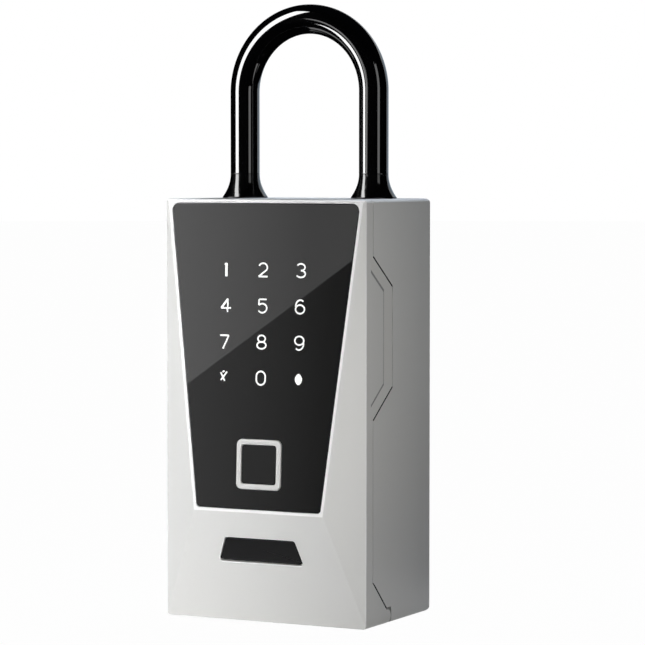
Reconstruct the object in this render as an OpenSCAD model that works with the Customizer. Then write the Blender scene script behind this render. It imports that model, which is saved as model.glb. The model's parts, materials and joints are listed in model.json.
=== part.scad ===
// A key lockbox with a touch keypad and a fingerprint reader.
// A door hinged at the base closes a key compartment, and a shackle that can be taken out
// hangs the box on a handle or a rail.
// The front faces -Y and +Z is up. The origin is the middle of the bounding box at the base.

/* [Case] */
// Width across the side walls
body_w = 64; // [62:1:76]
// Depth from the front edges of the side walls to the back face
body_d = 42; // [41:1:56]
// Height without the shackle
body_h = 120; // [118:1:140]
// Thickness of the outer walls
wall = 2.3; // [2:0.1:2.6]
// Thickness of the back wall
back_wall = 2.6; // [2:0.1:3.5]
// Thickness of the inner rim that the door closes round
rim_t = 1.3; // [1:0.1:1.5]
// Radius of the upright edges of the back
back_edge_r = 0.8; // [0.4:0.1:5]
// Radius of the top and base edges of the back
back_end_r = 2.8; // [1:0.1:5]
// Radius of the edges where the sides meet the top and the base
side_edge_r = 1; // [0.4:0.1:2]

/* [Front] */
// How far the ridge under the glass stands out of the front edges
ridge_proud = 4.6; // [4:0.1:6]
// How far the top of the front stands out of the front edges
top_proud = 0.23; // [0.1:0.01:0.6]
// Height of the ridge, where the lower facet starts
ridge_z = 31.2; // [30:0.1:34]
// Width of each side facet at the ridge
facet_w = 11.2; // [10:0.1:12]
// Depth of the front wall along Y
front_wall = 3; // [2.8:0.1:3.4]
// Radius of the top front edge
front_top_r = 0.8; // [0.3:0.1:1.2]

/* [Door seam] */
// Depth of the door's side and top walls behind the front edges
door_return = 4; // [3.6:0.1:4.4]
// Gap between the door and the body along the seam
seam_gap = 0.3; // [0.3:0.05:0.6]
// Depth of the side grips behind the front edges
grip_d = 16.3; // [14:0.1:18]
// Height of a grip along its back edge
grip_h = 28; // [20:0.5:34]
// Height of a grip where it leaves the seam
grip_root_h = 45.5; // [40:0.5:48]
// Height of the middle of the grips above the base
grip_z = 81.2; // [76:0.1:86]
// Width of the finger groove along a grip's back edge
grip_band_back = 5.6; // [3:0.1:6]
// Width of the finger grooves along a grip's slanted edges
grip_band_end = 4.2; // [3:0.1:5]
// Depth of the finger groove, which is deepest near its inner edge
grip_groove = 0.45; // [0.2:0.05:1.4]

/* [Hinge] */
// Distance of the hinge axis behind the front edges
hinge_y = 13.6; // [13:0.1:15]
// Radius of the hinge knuckles, which touch the base plane
knuckle_r = 2; // [1.9:0.1:2.2]
// Diameter of the hinge pins
hinge_pin_d = 2; // [1.6:0.1:2.2]
// Width of the door's middle knuckle
middle_knuckle_w = 36; // [24:1:40]
// Depth of each pin in the middle knuckle
pin_depth = 3; // [2:0.5:6]
// Height at which the seam turns back towards the hinge
foot_root_z = 12.6; // [11:0.1:16]

/* [Glass] */
// Thickness of the keypad glass
glass_t = 1.6; // [1.2:0.1:1.8]
// Width of the shell's border round the glass
glass_margin = 1.1; // [0.8:0.1:2]
// Depth of the glass face under the border
glass_recess = 0.15; // [0.05:0.05:0.3]
// Corner radius of the glass
glass_r = 2.2; // [1:0.1:4]
// Width of the touch board
board_w = 37.2; // [30:0.1:38]
// Distance from the reader's opening to the touch board
board_gap = 3.2; // [2:0.1:10]
// Thickness of the touch board
board_t = 1.2; // [0.8:0.1:1.4]
// Distance from the top of the front to the touch board
board_top = 12.5; // [11:0.1:14]

/* [Fingerprint reader] */
// Height of the reader's middle above the ridge, along the glass
reader_v = 14; // [12:0.1:16]
// Outer side of the reader's frame
reader_outer = 14.2; // [13:0.1:15]
// Inner side of the reader's frame
reader_inner = 11.1; // [10:0.1:12]
// Outer corner radius of the frame
reader_r = 1.7; // [1:0.1:3]
// How far the frame stands out of the glass border
reader_proud = 0.3; // [0.1:0.05:0.4]

/* [Port] */
// Height of the port cover's lower edge, along the lower facet
port_v = 17.2; // [15:0.1:18]
// Height of the port opening, along the lower facet
port_h = 7.1; // [6.6:0.1:8]
// Width of the port opening at its lower edge
port_base_w = 27.2; // [24:0.1:30]
// Width of the port opening at its top edge
port_top_w = 22.2; // [18:0.1:24]
// Thickness of the port cover
port_cover_t = 1.4; // [1.2:0.1:1.6]
// Corner radius of the port opening
port_r = 0.9; // [0.4:0.1:1.5]

/* [Shackle] */
// Distance from a side of the case to the middle of its leg
leg_inset = 11; // [10:0.1:13]
// Diameter of the steel bar
bar_d = 6.4; // [6:0.1:7]
// Diameter over the vinyl sleeve
sleeve_d = 8.5; // [8:0.1:9]
// Clear height under the arch, above the case
shackle_clear = 47.5; // [30:0.5:70]
// Diameter of a boot where it meets the case
boot_d = 13.2; // [11:0.1:13.6]
// Height of a boot
boot_h = 7; // [5:0.5:9]
// Length of the steel bushes in the top
bush_l = 9; // [8:0.5:10]
// Diameter of the turned grooves in the legs
neck_d = 4.6; // [4:0.1:5]

/* [Shackle lock] */
// Gap between the door's liner and the lock slider
lock_gap = 1.83; // [1:0.01:4]
// Thickness of the lock slider
slider_t = 2; // [1.5:0.1:2.5]
// Travel of the lock slider
slider_travel = 5; // [4.5:0.1:5]
// Width of the slider's thumb tab
tab_w = 12; // [8:0.5:14]
// Drop of the thumb tab under the slider
tab_drop = 8; // [5:0.5:10]
// Thickness of the plate under the slider
lock_cover_t = 2.4; // [2:0.1:3]

/* [Latch] */
// Gear module of the pinion and the rack
gear_module = 0.5; // [0.45:0.01:0.5]
// Teeth on the pinion
pinion_teeth = 12; // [12:1:13]
// Width of the bolt
bolt_w = 12; // [10:0.5:13]
// Thickness of the bolt behind the rack
bolt_t = 2.45; // [2:0.05:2.5]
// Travel of the bolt
bolt_throw = 3.5; // [2.5:0.1:3.5]
// Length of the bolt
bolt_l = 19; // [17:0.5:19.5]
// Length of the latch motor
motor_l = 17; // [14:0.5:17]
// Height of the latch motor
motor_h = 12; // [10:0.5:12]
// Depth of the latch motor
motor_d = 8.6; // [8:0.1:9]

/* [Batteries] */
// Number of cells side by side
cell_count = 4; // [2:1:4]
// Gap between the cells
cell_spacing = 0.4; // [0.2:0.1:1]
// Room for a contact at each end of the cells
contact_room = 2.2; // [1.5:0.1:2.5]
// Thickness of the battery cover
battery_cover_t = 1.2; // [1:0.1:1.6]

/* [Wall mount] */
// Distance across between the wall screws
mount_dx = 40; // [30:1:44]
// Distance up between the wall screws
mount_dz = 66; // [40:1:70]
// Height of the middle of the wall screws
mount_z = 56; // [45:1:62]
// Diameter of the wall-screw holes
mount_hole_d = 5; // [4:0.1:6]

/* [Key hook] */
// Distance of the hook's peg under the plate of the shackle lock
hook_drop = 10.7; // [9:0.1:20]
// Diameter of the peg
hook_d = 3; // [2.5:0.1:4]
// Reach of the peg from its plate
hook_reach = 12; // [8:0.5:14]

/* [Hidden] */
$fn = 64;

// Clearances
seat_gap = 0.1;      // between pieces that are screwed or bonded together
run_gap = 0.05;      // round a turning pin, on the radius
slide_gap = 0.3;     // beside a sliding piece
swing_gap = 2.2;     // under the liner as the door swings past the lip
over = 1;            // how far a cutter passes the face that it cuts
sunk = 0.4;          // how far a boss reaches into the wall that carries it
far = 2 * body_d;    // longer than any cut along Y

// Frame: the shapes are drawn with Y = 0 at the front edges of the side walls
front_y = (ridge_proud - body_d) / 2;

// Facets of the front
ridge_hw = body_w / 2 - facet_w;
facet_apex = ridge_proud * body_w / 2 / facet_w;
top_hw = body_w / 2 - top_proud * facet_w / ridge_proud;
front_tilt = atan((ridge_proud - top_proud) / (body_h - ridge_z));
lower_tilt = atan(ridge_proud / ridge_z);
front_len = (body_h - ridge_z) / cos(front_tilt);

// Hinge
hinge_z = knuckle_r;
foot_y = hinge_y + knuckle_r;
foot_h = 2 * knuckle_r;
foot_step = 0.7;
lug_r = knuckle_r - seat_gap;
lug_in = middle_knuckle_w / 2 + slide_gap;
lug_out = body_w / 2 - wall - slide_gap;
pin_in = middle_knuckle_w / 2 - pin_depth;
pin_out = body_w / 2 - wall / 2;

// Finger grooves
groove_lead = 1.2;

// Liner and rim, from the front wall backwards
flange_t = 1;
seal_t = 1.2;
seal_w = 1.6;
liner_t = 1.4;
flange_y = front_wall - top_proud + seat_gap;
seal_y = flange_y + flange_t;
rim_front = seal_y + seal_t + seat_gap;
rim_hw = body_w / 2 - wall - slide_gap;
rim_top = body_h - wall - slide_gap;
cavity_hw = rim_hw - rim_t;
ceiling_z = rim_top - rim_t;
cavity_back = body_d - back_wall;
lip_z = foot_h + seam_gap;
lip_top = lip_z + rim_t;
lip_reach = 1.6;
lip_front = hinge_y - knuckle_r - lip_reach;
floor_y = foot_y + seam_gap + rim_t;
flange_hw = rim_hw - slide_gap / 2;
flange_top = rim_top - slide_gap;
flange_bottom = lip_z + rim_t;

// Batteries, with the size of a standard AAA cell
cell_d = 10.5;
cell_l = 44.5;
cell_gap = 0.3;
cell_pitch = cell_d + cell_spacing;
cell_y = seal_y + cell_gap + cell_d / 2;
liner_back = cell_y + cell_d / 2 + cell_gap;
bay_hw = cell_count * cell_pitch / 2;
bay_l = cell_l + 2 * contact_room;
contact_t = 0.5;
contact_w = 8;

// Latch, from the ceiling down
strike_t = 1;
strike_lip_t = 1.6;
strike_drop = bolt_throw + strike_t + seat_gap - 3 * slide_gap;
strike_w = 18;
strike_l = 11.5;
strike_bottom = ceiling_z - strike_drop;
liner_top = strike_bottom - 2 * slide_gap;
liner_bottom = lip_top + swing_gap;
liner_gap = 0.7;
liner_hw = cavity_hw - liner_gap;
bolt_top = liner_top - slide_gap;
bolt_room = 1.1;
bay_top = bolt_top - bolt_l - bolt_room - liner_t;
bay_bottom = bay_top - bay_l;
bolt_back = liner_back - liner_t - slide_gap;
bolt_front = bolt_back - bolt_t;
bolt_gap = 0.15;
pressure_angle = 25;
dedendum = 1.25 * gear_module;
gear_backlash = 0.06;
pitch_r = gear_module * pinion_teeth / 2;
rack_pitch = PI * gear_module;
rack_y = bolt_front - dedendum;
pinion_y = rack_y - pitch_r;
pinion_drop = 8.8;
pinion_z = liner_top - pinion_drop;
pinion_w = 5.6;
rack_w = 5;
rack_first = -5;
rack_last = 1;
shaft_d = 3;
shaft_depth = 6;
shaft_end = 0.5;
rail_t = 1.2;
motor_gap = 0.85;
motor_side_gap = 0.8;
motor_x = bolt_w / 2 + bolt_gap + rail_t + motor_gap;
latch_x = motor_x + motor_l + motor_side_gap - liner_hw + liner_t;

// Shackle lock, from the liner backwards
bridge_w = 2.4;
slider_front = liner_back + lock_gap;
fork_root = slider_front + bridge_w;
shackle_y = fork_root + slide_gap + slider_travel + neck_d / 2;
fork_tip = shackle_y - bar_d / 2 - slide_gap;
fork_w = 11;
tab_t = 1.6;

// Shackle and its lock, from the top down
leg_x = body_w / 2 - leg_inset;
arch_z = body_h + shackle_clear + sleeve_d / 2 - leg_x;
bush_t = 1.2;
bush_r = bar_d / 2 + run_gap + bush_t;
boss_t = 1.8;
slider_top = body_h - bush_l - 2 * slide_gap;
slider_z = slider_top - slider_t;
lock_cover_top = slider_z - slide_gap;
lock_cover_z = lock_cover_top - lock_cover_t;
post_x = 9;
post_r = 3;
post_gap = 2;
post_y = cavity_back - post_r - post_gap;

// Reader behind the glass
reader_flange_w = 0.9;
reader_flange_t = 0.8;
reader_hole = reader_outer + 2 * reader_flange_w + 4 * seat_gap;

// Touch board, between the reader and the top of the glass
board_r = 1;
board_low = reader_v + reader_hole / 2 + board_gap;
board_h = front_len - board_top - board_low;
board_mid = board_low + board_h / 2;
chip_t = 0.9;
chips = [[-8, -12, 7, 7], [7, -14, 5, 4], [9, -2, 4, 6], [-9, 2, 4, 3]];    // [x, y, width, height]

// Port behind the lower facet
port_gap = 0.25;
port_pin_d = 1;
port_floor = glass_recess + port_cover_t + port_gap;
port_axis_v = port_v + port_gap + port_cover_t / 2;
port_axis_n = glass_recess + port_cover_t / 2;
port_mid_v = port_v + port_h / 2;
port_wall = front_wall * cos(lower_tilt);
usb_w = 8.94;
usb_h = 3.2;
usb_l = 7.3;
usb_shell = 0.3;
usb_slot_gap = 0.4;
usb_board_w = 16;
usb_board_l = 10;
usb_board_t = 1;
usb_ledge_t = 1.5;
usb_ledge_w = 3;
usb_ledge_l = 6;
port_pin_seat = 1;

// Screws
screw_d = 2;
screw_head_d = 3.4;
screw_head_h = 1.2;
screw_room = 0.3;    // how much deeper a hole is than its screw
cover_screw_bite = 4.5;
strike_screw_bite = 2;
hook_screw_bite = 1.4;
low_screw_bite = 6;
high_screw_bite = 0.9;
strike_screw_x = strike_w / 3;
strike_screw_y = bolt_back + screw_head_d / 2 + strike_lip_t;
low_post_r = 2.8;
low_post_gap = 1.2;
low_screw_up = 6;
low_screw_x = liner_hw - liner_t - low_post_gap - low_post_r;
low_screw_z = liner_bottom + low_screw_up;
high_screw_x = low_screw_x;
high_screw_z = (liner_top + flange_top - seal_w) / 2;
high_boss_r = 2.4;
hook_z = lock_cover_z - hook_drop;
hook_plate_t = 1.2;
hook_plate_w = 10;
hook_plate_h = 11;
hook_screw_dz = 3.8;
hook_tip = 3;

// Seam line of the door in the side view, as [y, z], from the base round to the top
door_outline = [
    [-2 * ridge_proud, -over],
    [foot_y, -over],
    [foot_y, foot_h],
    [hinge_y - foot_step, foot_h],
    [door_return, foot_root_z],
    [door_return, grip_z - grip_root_h / 2],
    [grip_d, grip_z - grip_h / 2],
    [grip_d, grip_z + grip_h / 2],
    [door_return, grip_z + grip_root_h / 2],
    [door_return, body_h + over],
    [-2 * ridge_proud, body_h + over]
];

// Unit vector along v
function unit(v) = v / norm(v);

// Outline grown by a distance, with mitred corners
function grow(points, distance) = let (n = len(points)) [
    for (i = [0 : n - 1])
        let (
            before = unit(points[i] - points[(i + n - 1) % n]),
            after = unit(points[(i + 1) % n] - points[i]),
            out_before = [before.y, -before.x],
            out_after = [after.y, -after.x]
        )
        points[i] + distance * (out_before + out_after) / (1 + out_before * out_after)
];

// Convex outline with each corner turned into an arc
function rounded(points, radius, steps = 8) = let (n = len(points)) [
    for (i = [0 : n - 1])
        let (
            back = unit(points[(i + n - 1) % n] - points[i]),
            ahead = unit(points[(i + 1) % n] - points[i]),
            half = acos(back * ahead) / 2,
            middle = points[i] + unit(back + ahead) * radius / sin(half),
            from = points[i] + back * radius / tan(half) - middle,
            start = atan2(from.y, from.x)
        )
        for (k = [0 : steps])
            let (angle = start + (180 - 2 * half) * k / steps)
            middle + radius * [cos(angle), sin(angle)]
];

// Trapezoid with its base on v = 0, drawn in by a margin on every side
function inset_trapezoid(base_hw, end_hw, length, margin) =
    let (
        slope = (end_hw - base_hw) / length,
        side = margin / cos(atan(slope)),
        low = base_hw + slope * margin - side,
        high = end_hw - slope * margin - side
    )
    [[-low, margin], [low, margin], [high, length - margin], [-high, length - margin]];

// Port opening drawn in by a margin
function port_outline(margin) = [
    for (p = inset_trapezoid(port_base_w / 2, port_top_w / 2, port_h, margin)) p + [0, port_v]
];

// Half angle of a pinion tooth at a radius, in degrees
function involute(angle) = tan(angle) - angle * PI / 180;
function tooth_half_angle(radius) =
    90 / pinion_teeth - gear_backlash / pitch_r * 90 / PI
    + (involute(pressure_angle)
       - involute(acos(min(1, pitch_r * cos(pressure_angle) / radius)))) * 180 / PI;

// Shapes drawn from the front edges, moved into the part's frame
module in_case() {
    translate([0, front_y, 0]) children();
}

// Side-view outline, as [y, z], extruded across the width
module across(width) {
    rotate([90, 0, 90]) translate([0, 0, -width / 2]) linear_extrude(width) children();
}

// Sketch on the glass plane: X across, Y up the plane from the ridge, Z out of the face
module on_front() {
    translate([0, -ridge_proud, ridge_z]) rotate([90 - front_tilt, 0, 0]) children();
}

// Sketch on the lower facet: X across, Y up the facet from the base, Z out of the face
module on_lower() {
    rotate([90 + lower_tilt, 0, 0]) children();
}

// Children drawn about the middle of the bolt
module at_latch() {
    translate([latch_x, 0, 0]) children();
}

// Both sides of the box
module both_sides() {
    children();
    mirror([1, 0, 0]) children();
}

// Box from its lowest corner to its highest
module block(low, high) {
    translate(low) cube(high - low);
}

// Rectangle with round corners, centred
module round_rect(w, h, r) {
    square([w - 2 * r, h], center = true);
    square([w, h - 2 * r], center = true);
    for (x = [-1, 1], y = [-1, 1]) translate([x * (w / 2 - r), y * (h / 2 - r)]) circle(r);
}

// Screw along -Z with its head's underside at the origin
module screw(length) {
    cylinder(d = screw_head_d, h = screw_head_h);
    translate([0, 0, -length]) cylinder(d = screw_d, h = length + sunk);
}

// Closed case, without its hollow: three views of it, extruded and intersected
module case_form() {
    intersection() {
        translate([0, 0, -over]) linear_extrude(body_h + 2 * over) plan_view();
        across(body_w + 2 * over) side_view();
        translate([0, body_d + over, body_h / 2]) rotate([90, 0, 0])
            linear_extrude(far) round_rect(body_w, body_h, side_edge_r);
    }
}

module plan_view() {
    straight = body_d - back_edge_r;
    polygon([
        [-body_w / 2, 0], [0, -facet_apex], [body_w / 2, 0],
        [body_w / 2, straight], [-body_w / 2, straight]
    ]);
    translate([0, body_d / 2]) square([body_w - 2 * back_edge_r, body_d], center = true);
    for (s = [-1, 1]) translate([s * (body_w / 2 - back_edge_r), straight]) circle(back_edge_r);
}

module side_view() {
    straight = body_d - back_end_r;
    intersection() {
        polygon([
            [0, 0], [straight, 0], [straight, body_h], [-top_proud, body_h],
            [-ridge_proud, ridge_z]
        ]);
        union() {
            translate([front_top_r, 0]) square([body_d, body_h]);
            translate([-2 * ridge_proud, 0]) square([far, body_h - front_top_r]);
            translate([front_top_r - top_proud, body_h - front_top_r]) circle(front_top_r);
        }
    }
    translate([0, back_end_r]) square([body_d, body_h - 2 * back_end_r]);
    for (z = [back_end_r, body_h - back_end_r]) translate([straight, z]) circle(back_end_r);
}

// Room behind the facets, a wall's depth in
module front_room() {
    intersection() {
        translate([0, front_wall, 0]) intersection() {
            linear_extrude(body_h) polygon([
                [-body_w / 2, 0], [0, -facet_apex], [body_w / 2, 0],
                [body_w / 2, far], [-body_w / 2, far]
            ]);
            across(body_w) polygon([
                [0, 0], [far, 0], [far, body_h], [-top_proud, body_h], [-ridge_proud, ridge_z]
            ]);
        }
        block([wall - body_w / 2, -far, wall], [body_w / 2 - wall, far, body_h - wall]);
    }
}

// Outline swept along one edge of a grip, from corner to corner of the door's seam line.
// Its X runs out over the edge from the seam, and its Y is X in the part.
module along_grip(corner) {
    p = door_outline[corner];
    q = door_outline[corner + 1];
    along = unit(q - p);
    out = [along.y, -along.x];
    start = p - far * along;
    multmatrix([
        [0, 1, 0, 0],
        [out.x, 0, along.x, start.x],
        [out.y, 0, along.y, start.y],
        [0, 0, 0, 1]
    ])
        linear_extrude(norm(q - p) + 2 * far) children();
}

// Outer slope of a finger groove, which starts flush at the seam
module groove_rise(corner, band) {
    slope = grip_groove / (band - groove_lead);
    along_grip(corner) polygon([
        [0, body_w / 2], [0, body_w / 2 + over],
        [-far, body_w / 2 + over], [-far, body_w / 2 - slope * far]
    ]);
}

// Inner slope of a finger groove, steeper, down from the flat of the grip
module groove_fall(corner, band) {
    slope = grip_groove / groove_lead;
    along_grip(corner) polygon([
        [-band, body_w / 2], [0, body_w / 2 - slope * band],
        [0, body_w / 2 + over], [-band, body_w / 2 + over]
    ]);
}

// Finger groove round the back of a grip, on the +X side
module grip_grooves() {
    intersection() {
        groove_rise(5, grip_band_end);
        groove_rise(6, grip_band_back);
        groove_rise(7, grip_band_end);
        union() {
            groove_fall(5, grip_band_end);
            groove_fall(6, grip_band_back);
            groove_fall(7, grip_band_end);
        }
        block(
            [0, door_return - groove_lead, door_outline[5].y],
            [body_w, grip_d + over, door_outline[8].y]
        );
    }
}

// Cast body: compartment, rim, bosses and hinge lugs
module body_shell() {
    color("#c9c9c6") in_case() difference() {
        union() {
            difference() {
                case_form();
                difference() {
                    across(body_w + 2 * over) polygon(grow(door_outline, seam_gap));
                    rim_block();
                }
                key_room();
            }
            both_sides() {
                leg_boss();
                cover_post();
                hinge_lug();
            }
        }
        both_sides() {
            translate([leg_x, shackle_y, body_h - bush_l - over])
                cylinder(r = bush_r, h = bush_l + 2 * over);
            translate([post_x, post_y, lock_cover_top - over])
                cylinder(d = screw_d, h = over + cover_screw_bite + screw_room);
            translate([lug_in - over, hinge_y, hinge_z]) rotate([0, 90, 0])
                cylinder(d = hinge_pin_d, h = lug_out - lug_in + 2 * over);
            for (s = [-1, 1]) translate([mount_dx / 2, cavity_back, mount_z + s * mount_dz / 2])
                rotate([-90, 0, 0]) wall_hole();
        }
        at_latch() both_sides() translate([strike_screw_x, strike_screw_y, ceiling_z - over])
            cylinder(d = screw_d, h = over + strike_screw_bite + screw_room);
        for (s = [-1, 1]) translate([0, cavity_back - over, hook_z + s * hook_screw_dz])
            rotate([-90, 0, 0])
                cylinder(d = screw_d, h = over + hook_screw_bite + screw_room);
    }
}

// Inner layer of the body that stays under the door's edges
module rim_block() {
    difference() {
        block([-rim_hw, rim_front, lip_z], [rim_hw, body_d, rim_top]);
        block([-body_w, 0, 0], [body_w, lip_front, lip_top]);
    }
}

// Key compartment, open to the front, with a ledge for the seal and a deeper floor at the back
module key_room() {
    block([-cavity_hw, -far, lip_top], [cavity_hw, cavity_back, ceiling_z]);
    block([-rim_hw, -far, lip_top], [rim_hw, rim_front, rim_top]);
    block([-cavity_hw, floor_y, wall], [cavity_hw, cavity_back, body_h / 2]);
}

module leg_boss() {
    bottom = body_h - bush_l;
    translate([leg_x, shackle_y, bottom])
        cylinder(r = bush_r + boss_t, h = ceiling_z - bottom + sunk);
}

module cover_post() {
    translate([post_x, post_y, lock_cover_top])
        cylinder(r = post_r, h = ceiling_z - lock_cover_top + sunk);
}

module hinge_lug() {
    translate([lug_in, hinge_y, hinge_z]) {
        rotate([0, 90, 0]) cylinder(r = lug_r, h = lug_out - lug_in);
        translate([0, 0, -lug_r]) cube([lug_out - lug_in, floor_y - hinge_y, 2 * lug_r]);
    }
}

// Wall-screw hole along +Z with a countersink on the inside face at the origin
module wall_hole() {
    sink = over + 1.2;
    translate([0, 0, -over]) {
        cylinder(d = mount_hole_d, h = back_wall + 2 * over);
        cylinder(d1 = mount_hole_d + 2 * sink, d2 = mount_hole_d, h = sink);
    }
}

// Steel bushes that the shackle legs run in
module shackle_bushes() {
    color("#9a9a9a") in_case() both_sides()
        translate([leg_x, shackle_y, body_h - bush_l]) difference() {
            cylinder(r = bush_r, h = bush_l);
            translate([0, 0, -over])
                cylinder(r = bar_d / 2 + run_gap, h = bush_l + 2 * over);
        }
}

// Plate under the slider, with holes for the ends of the legs and a notch for the thumb tab
module lock_cover() {
    half = cavity_hw - slide_gap;
    tab_path = slider_front + tab_t + slider_travel + slide_gap;
    color("#2a2a2c") in_case() difference() {
        block([-half, slider_front + slide_gap, lock_cover_z],
            [half, post_y + post_r, lock_cover_top]);
        block([-tab_w / 2 - bolt_gap, 0, lock_cover_z - over],
            [tab_w / 2 + bolt_gap, tab_path, lock_cover_top + over]);
        both_sides() {
            translate([leg_x, shackle_y, lock_cover_z - over])
                cylinder(d = bar_d + 2 * slide_gap, h = lock_cover_t + 2 * over);
            translate([post_x, post_y, lock_cover_z - over])
                cylinder(d = screw_d, h = lock_cover_t + 2 * over);
        }
    }
}

module lock_cover_screws() {
    color("#b8b8b8") in_case() both_sides()
        translate([post_x, post_y, lock_cover_z]) rotate([180, 0, 0])
            screw(lock_cover_t + cover_screw_bite);
}

// Angle plate under the ceiling that the bolt catches behind
module strike_plate() {
    lip_y = bolt_front - bolt_gap - slide_gap - strike_lip_t;
    color("#b0b0b0") in_case() at_latch() difference() {
        union() {
            block([-strike_w / 2, lip_y, ceiling_z - strike_t],
                [strike_w / 2, lip_y + strike_l, ceiling_z]);
            block([-strike_w / 2, lip_y, strike_bottom],
                [strike_w / 2, lip_y + strike_lip_t, ceiling_z]);
        }
        both_sides() translate([strike_screw_x, strike_screw_y, ceiling_z - strike_t - over])
            cylinder(d = screw_d, h = strike_t + 2 * over);
    }
}

module strike_screws() {
    color("#b8b8b8") in_case() at_latch() both_sides()
        translate([strike_screw_x, strike_screw_y, ceiling_z - strike_t]) rotate([180, 0, 0])
            screw(strike_t + strike_screw_bite);
}

// Peg with a turned-up end on a small plate
module key_hook() {
    bend_r = hook_d;
    straight = hook_reach - bend_r;
    color("#b4b4b2") in_case() translate([0, cavity_back - hook_plate_t, hook_z]) {
        difference() {
            translate([-hook_plate_w / 2, 0, -hook_plate_h / 2])
                cube([hook_plate_w, hook_plate_t, hook_plate_h]);
            for (s = [-1, 1]) translate([0, -over, s * hook_screw_dz]) rotate([-90, 0, 0])
                cylinder(d = screw_d, h = hook_plate_t + 2 * over);
        }
        rotate([90, 0, 0]) cylinder(d = hook_d, h = straight);
        translate([0, -straight, bend_r]) rotate([0, -90, 0]) rotate([0, 0, 180])
            rotate_extrude(angle = 90) translate([bend_r, 0]) circle(d = hook_d);
        translate([0, -straight - bend_r, bend_r]) cylinder(d = hook_d, h = hook_tip);
    }
}

module key_hook_screws() {
    color("#b8b8b8") in_case() for (s = [-1, 1])
        translate([0, cavity_back - hook_plate_t, hook_z + s * hook_screw_dz])
            rotate([90, 0, 0]) screw(hook_plate_t + hook_screw_bite);
}

// Pins fixed in the body's lugs, which the door turns on
module hinge_pins() {
    color("#b0b0b0") in_case() both_sides() translate([pin_in, hinge_y, hinge_z])
        rotate([0, 90, 0]) cylinder(d = hinge_pin_d, h = pin_out - pin_in);
}

// Upright U along the legs and over the arch, from a height up
module hoop(diameter, from_z) {
    both_sides() translate([leg_x, shackle_y, from_z]) cylinder(d = diameter, h = arch_z - from_z);
    translate([0, shackle_y, arch_z]) rotate([90, 0, 0])
        rotate_extrude(angle = 180) translate([leg_x, 0]) circle(d = diameter);
}

// Steel shackle with a groove and a chamfered end on each leg
module shackle_bar() {
    groove_h = slider_t + 2 * slide_gap;
    chamfer = 0.7;
    color("#a8a8a8") in_case() difference() {
        hoop(bar_d, lock_cover_z);
        both_sides() translate([leg_x, shackle_y, 0]) {
            translate([0, 0, slider_z - slide_gap]) difference() {
                cylinder(d = bar_d + over, h = groove_h);
                translate([0, 0, -over]) cylinder(d = neck_d, h = groove_h + 2 * over);
            }
            translate([0, 0, lock_cover_z]) difference() {
                translate([0, 0, -over]) cylinder(d = bar_d + over, h = chamfer + over);
                cylinder(d1 = bar_d - 2 * chamfer, d2 = bar_d, h = chamfer);
                translate([0, 0, -2 * over]) cylinder(d = bar_d - 2 * chamfer, h = 2 * over);
            }
        }
    }
}

// Vinyl sleeve over the part of the bar that shows above the boots
module shackle_sleeve() {
    color("#0c0c0d") in_case() difference() {
        hoop(sleeve_d, body_h + boot_h);
        hoop(bar_d + 2 * run_gap, body_h + boot_h - over);
    }
}

// Flared boots that close the legs to the top of the case
module shackle_boots() {
    flare = (boot_d - sleeve_d) / 2;
    skirt = 0.3;
    rise = boot_h - skirt;
    steps = 10;
    color("#101011") in_case() both_sides() translate([leg_x, shackle_y, body_h])
        rotate_extrude() polygon(concat(
            [[bar_d / 2 + run_gap, 0], [boot_d / 2, 0]],
            [for (k = [0 : steps])
                [sleeve_d / 2 + flare * pow(1 - k / steps, 2), skirt + rise * k / steps]],
            [[bar_d / 2 + run_gap, boot_h]]
        ));
}

// Forked plate that slides back round the grooves in the legs
module shackle_lock_slider() {
    slot = neck_d + 2 * bolt_gap;
    reach = fork_tip - slider_front;
    color("#b9a774") in_case() difference() {
        union() {
            block([-leg_x - fork_w / 2, slider_front, slider_z],
                [leg_x + fork_w / 2, fork_root, slider_top]);
            both_sides() translate([leg_x - fork_w / 2, slider_front, slider_z])
                cube([fork_w, reach, slider_t]);
            block([-tab_w / 2, slider_front, slider_z - tab_drop],
                [tab_w / 2, slider_front + tab_t, slider_top]);
        }
        both_sides() translate([leg_x, fork_root + slot / 2, slider_z - over]) {
            cylinder(d = slot, h = slider_t + 2 * over);
            translate([-slot / 2, 0, 0]) cube([slot, reach, slider_t + 2 * over]);
        }
    }
}

// Faceted front shell with its grips, hinge feet and the bosses behind it
module door_shell() {
    color("#d8d8d6") in_case() difference() {
        union() {
            difference() {
                intersection() {
                    case_form();
                    across(body_w + 2 * over) door_profile();
                }
                front_room();
                lug_clearance();
            }
            across(middle_knuckle_w) translate([hinge_y, hinge_z]) circle(knuckle_r);
            both_sides() {
                low_post();
                high_boss();
                usb_ledge();
            }
        }
        glass_pocket();
        port_pocket();
        both_sides() {
            grip_grooves();
            translate([pin_in - over, hinge_y, hinge_z]) rotate([0, 90, 0])
                cylinder(d = hinge_pin_d + 2 * run_gap, h = pin_out - pin_in + over + seat_gap);
            translate([low_screw_x, liner_back, low_screw_z]) rotate([90, 0, 0])
                cylinder(d = screw_d, h = liner_t + low_screw_bite + screw_room);
            translate([high_screw_x, seal_y, high_screw_z]) rotate([90, 0, 0])
                cylinder(d = screw_d, h = flange_t + high_screw_bite + screw_room);
        }
    }
}

// Side view of the door, with feet rounded about the hinge
module door_profile() {
    polygon([
        for (i = [0 : len(door_outline) - 1])
            i == 1 || i == 2 ? [hinge_y, door_outline[i].y] : door_outline[i]
    ]);
    translate([hinge_y, hinge_z]) circle(knuckle_r);
}

// Room in the door's base for the body's hinge lugs
module lug_clearance() {
    both_sides() block(
        [middle_knuckle_w / 2, hinge_y - knuckle_r - slide_gap, -over],
        [body_w / 2 - wall, far, foot_h + over]
    );
}

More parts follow.
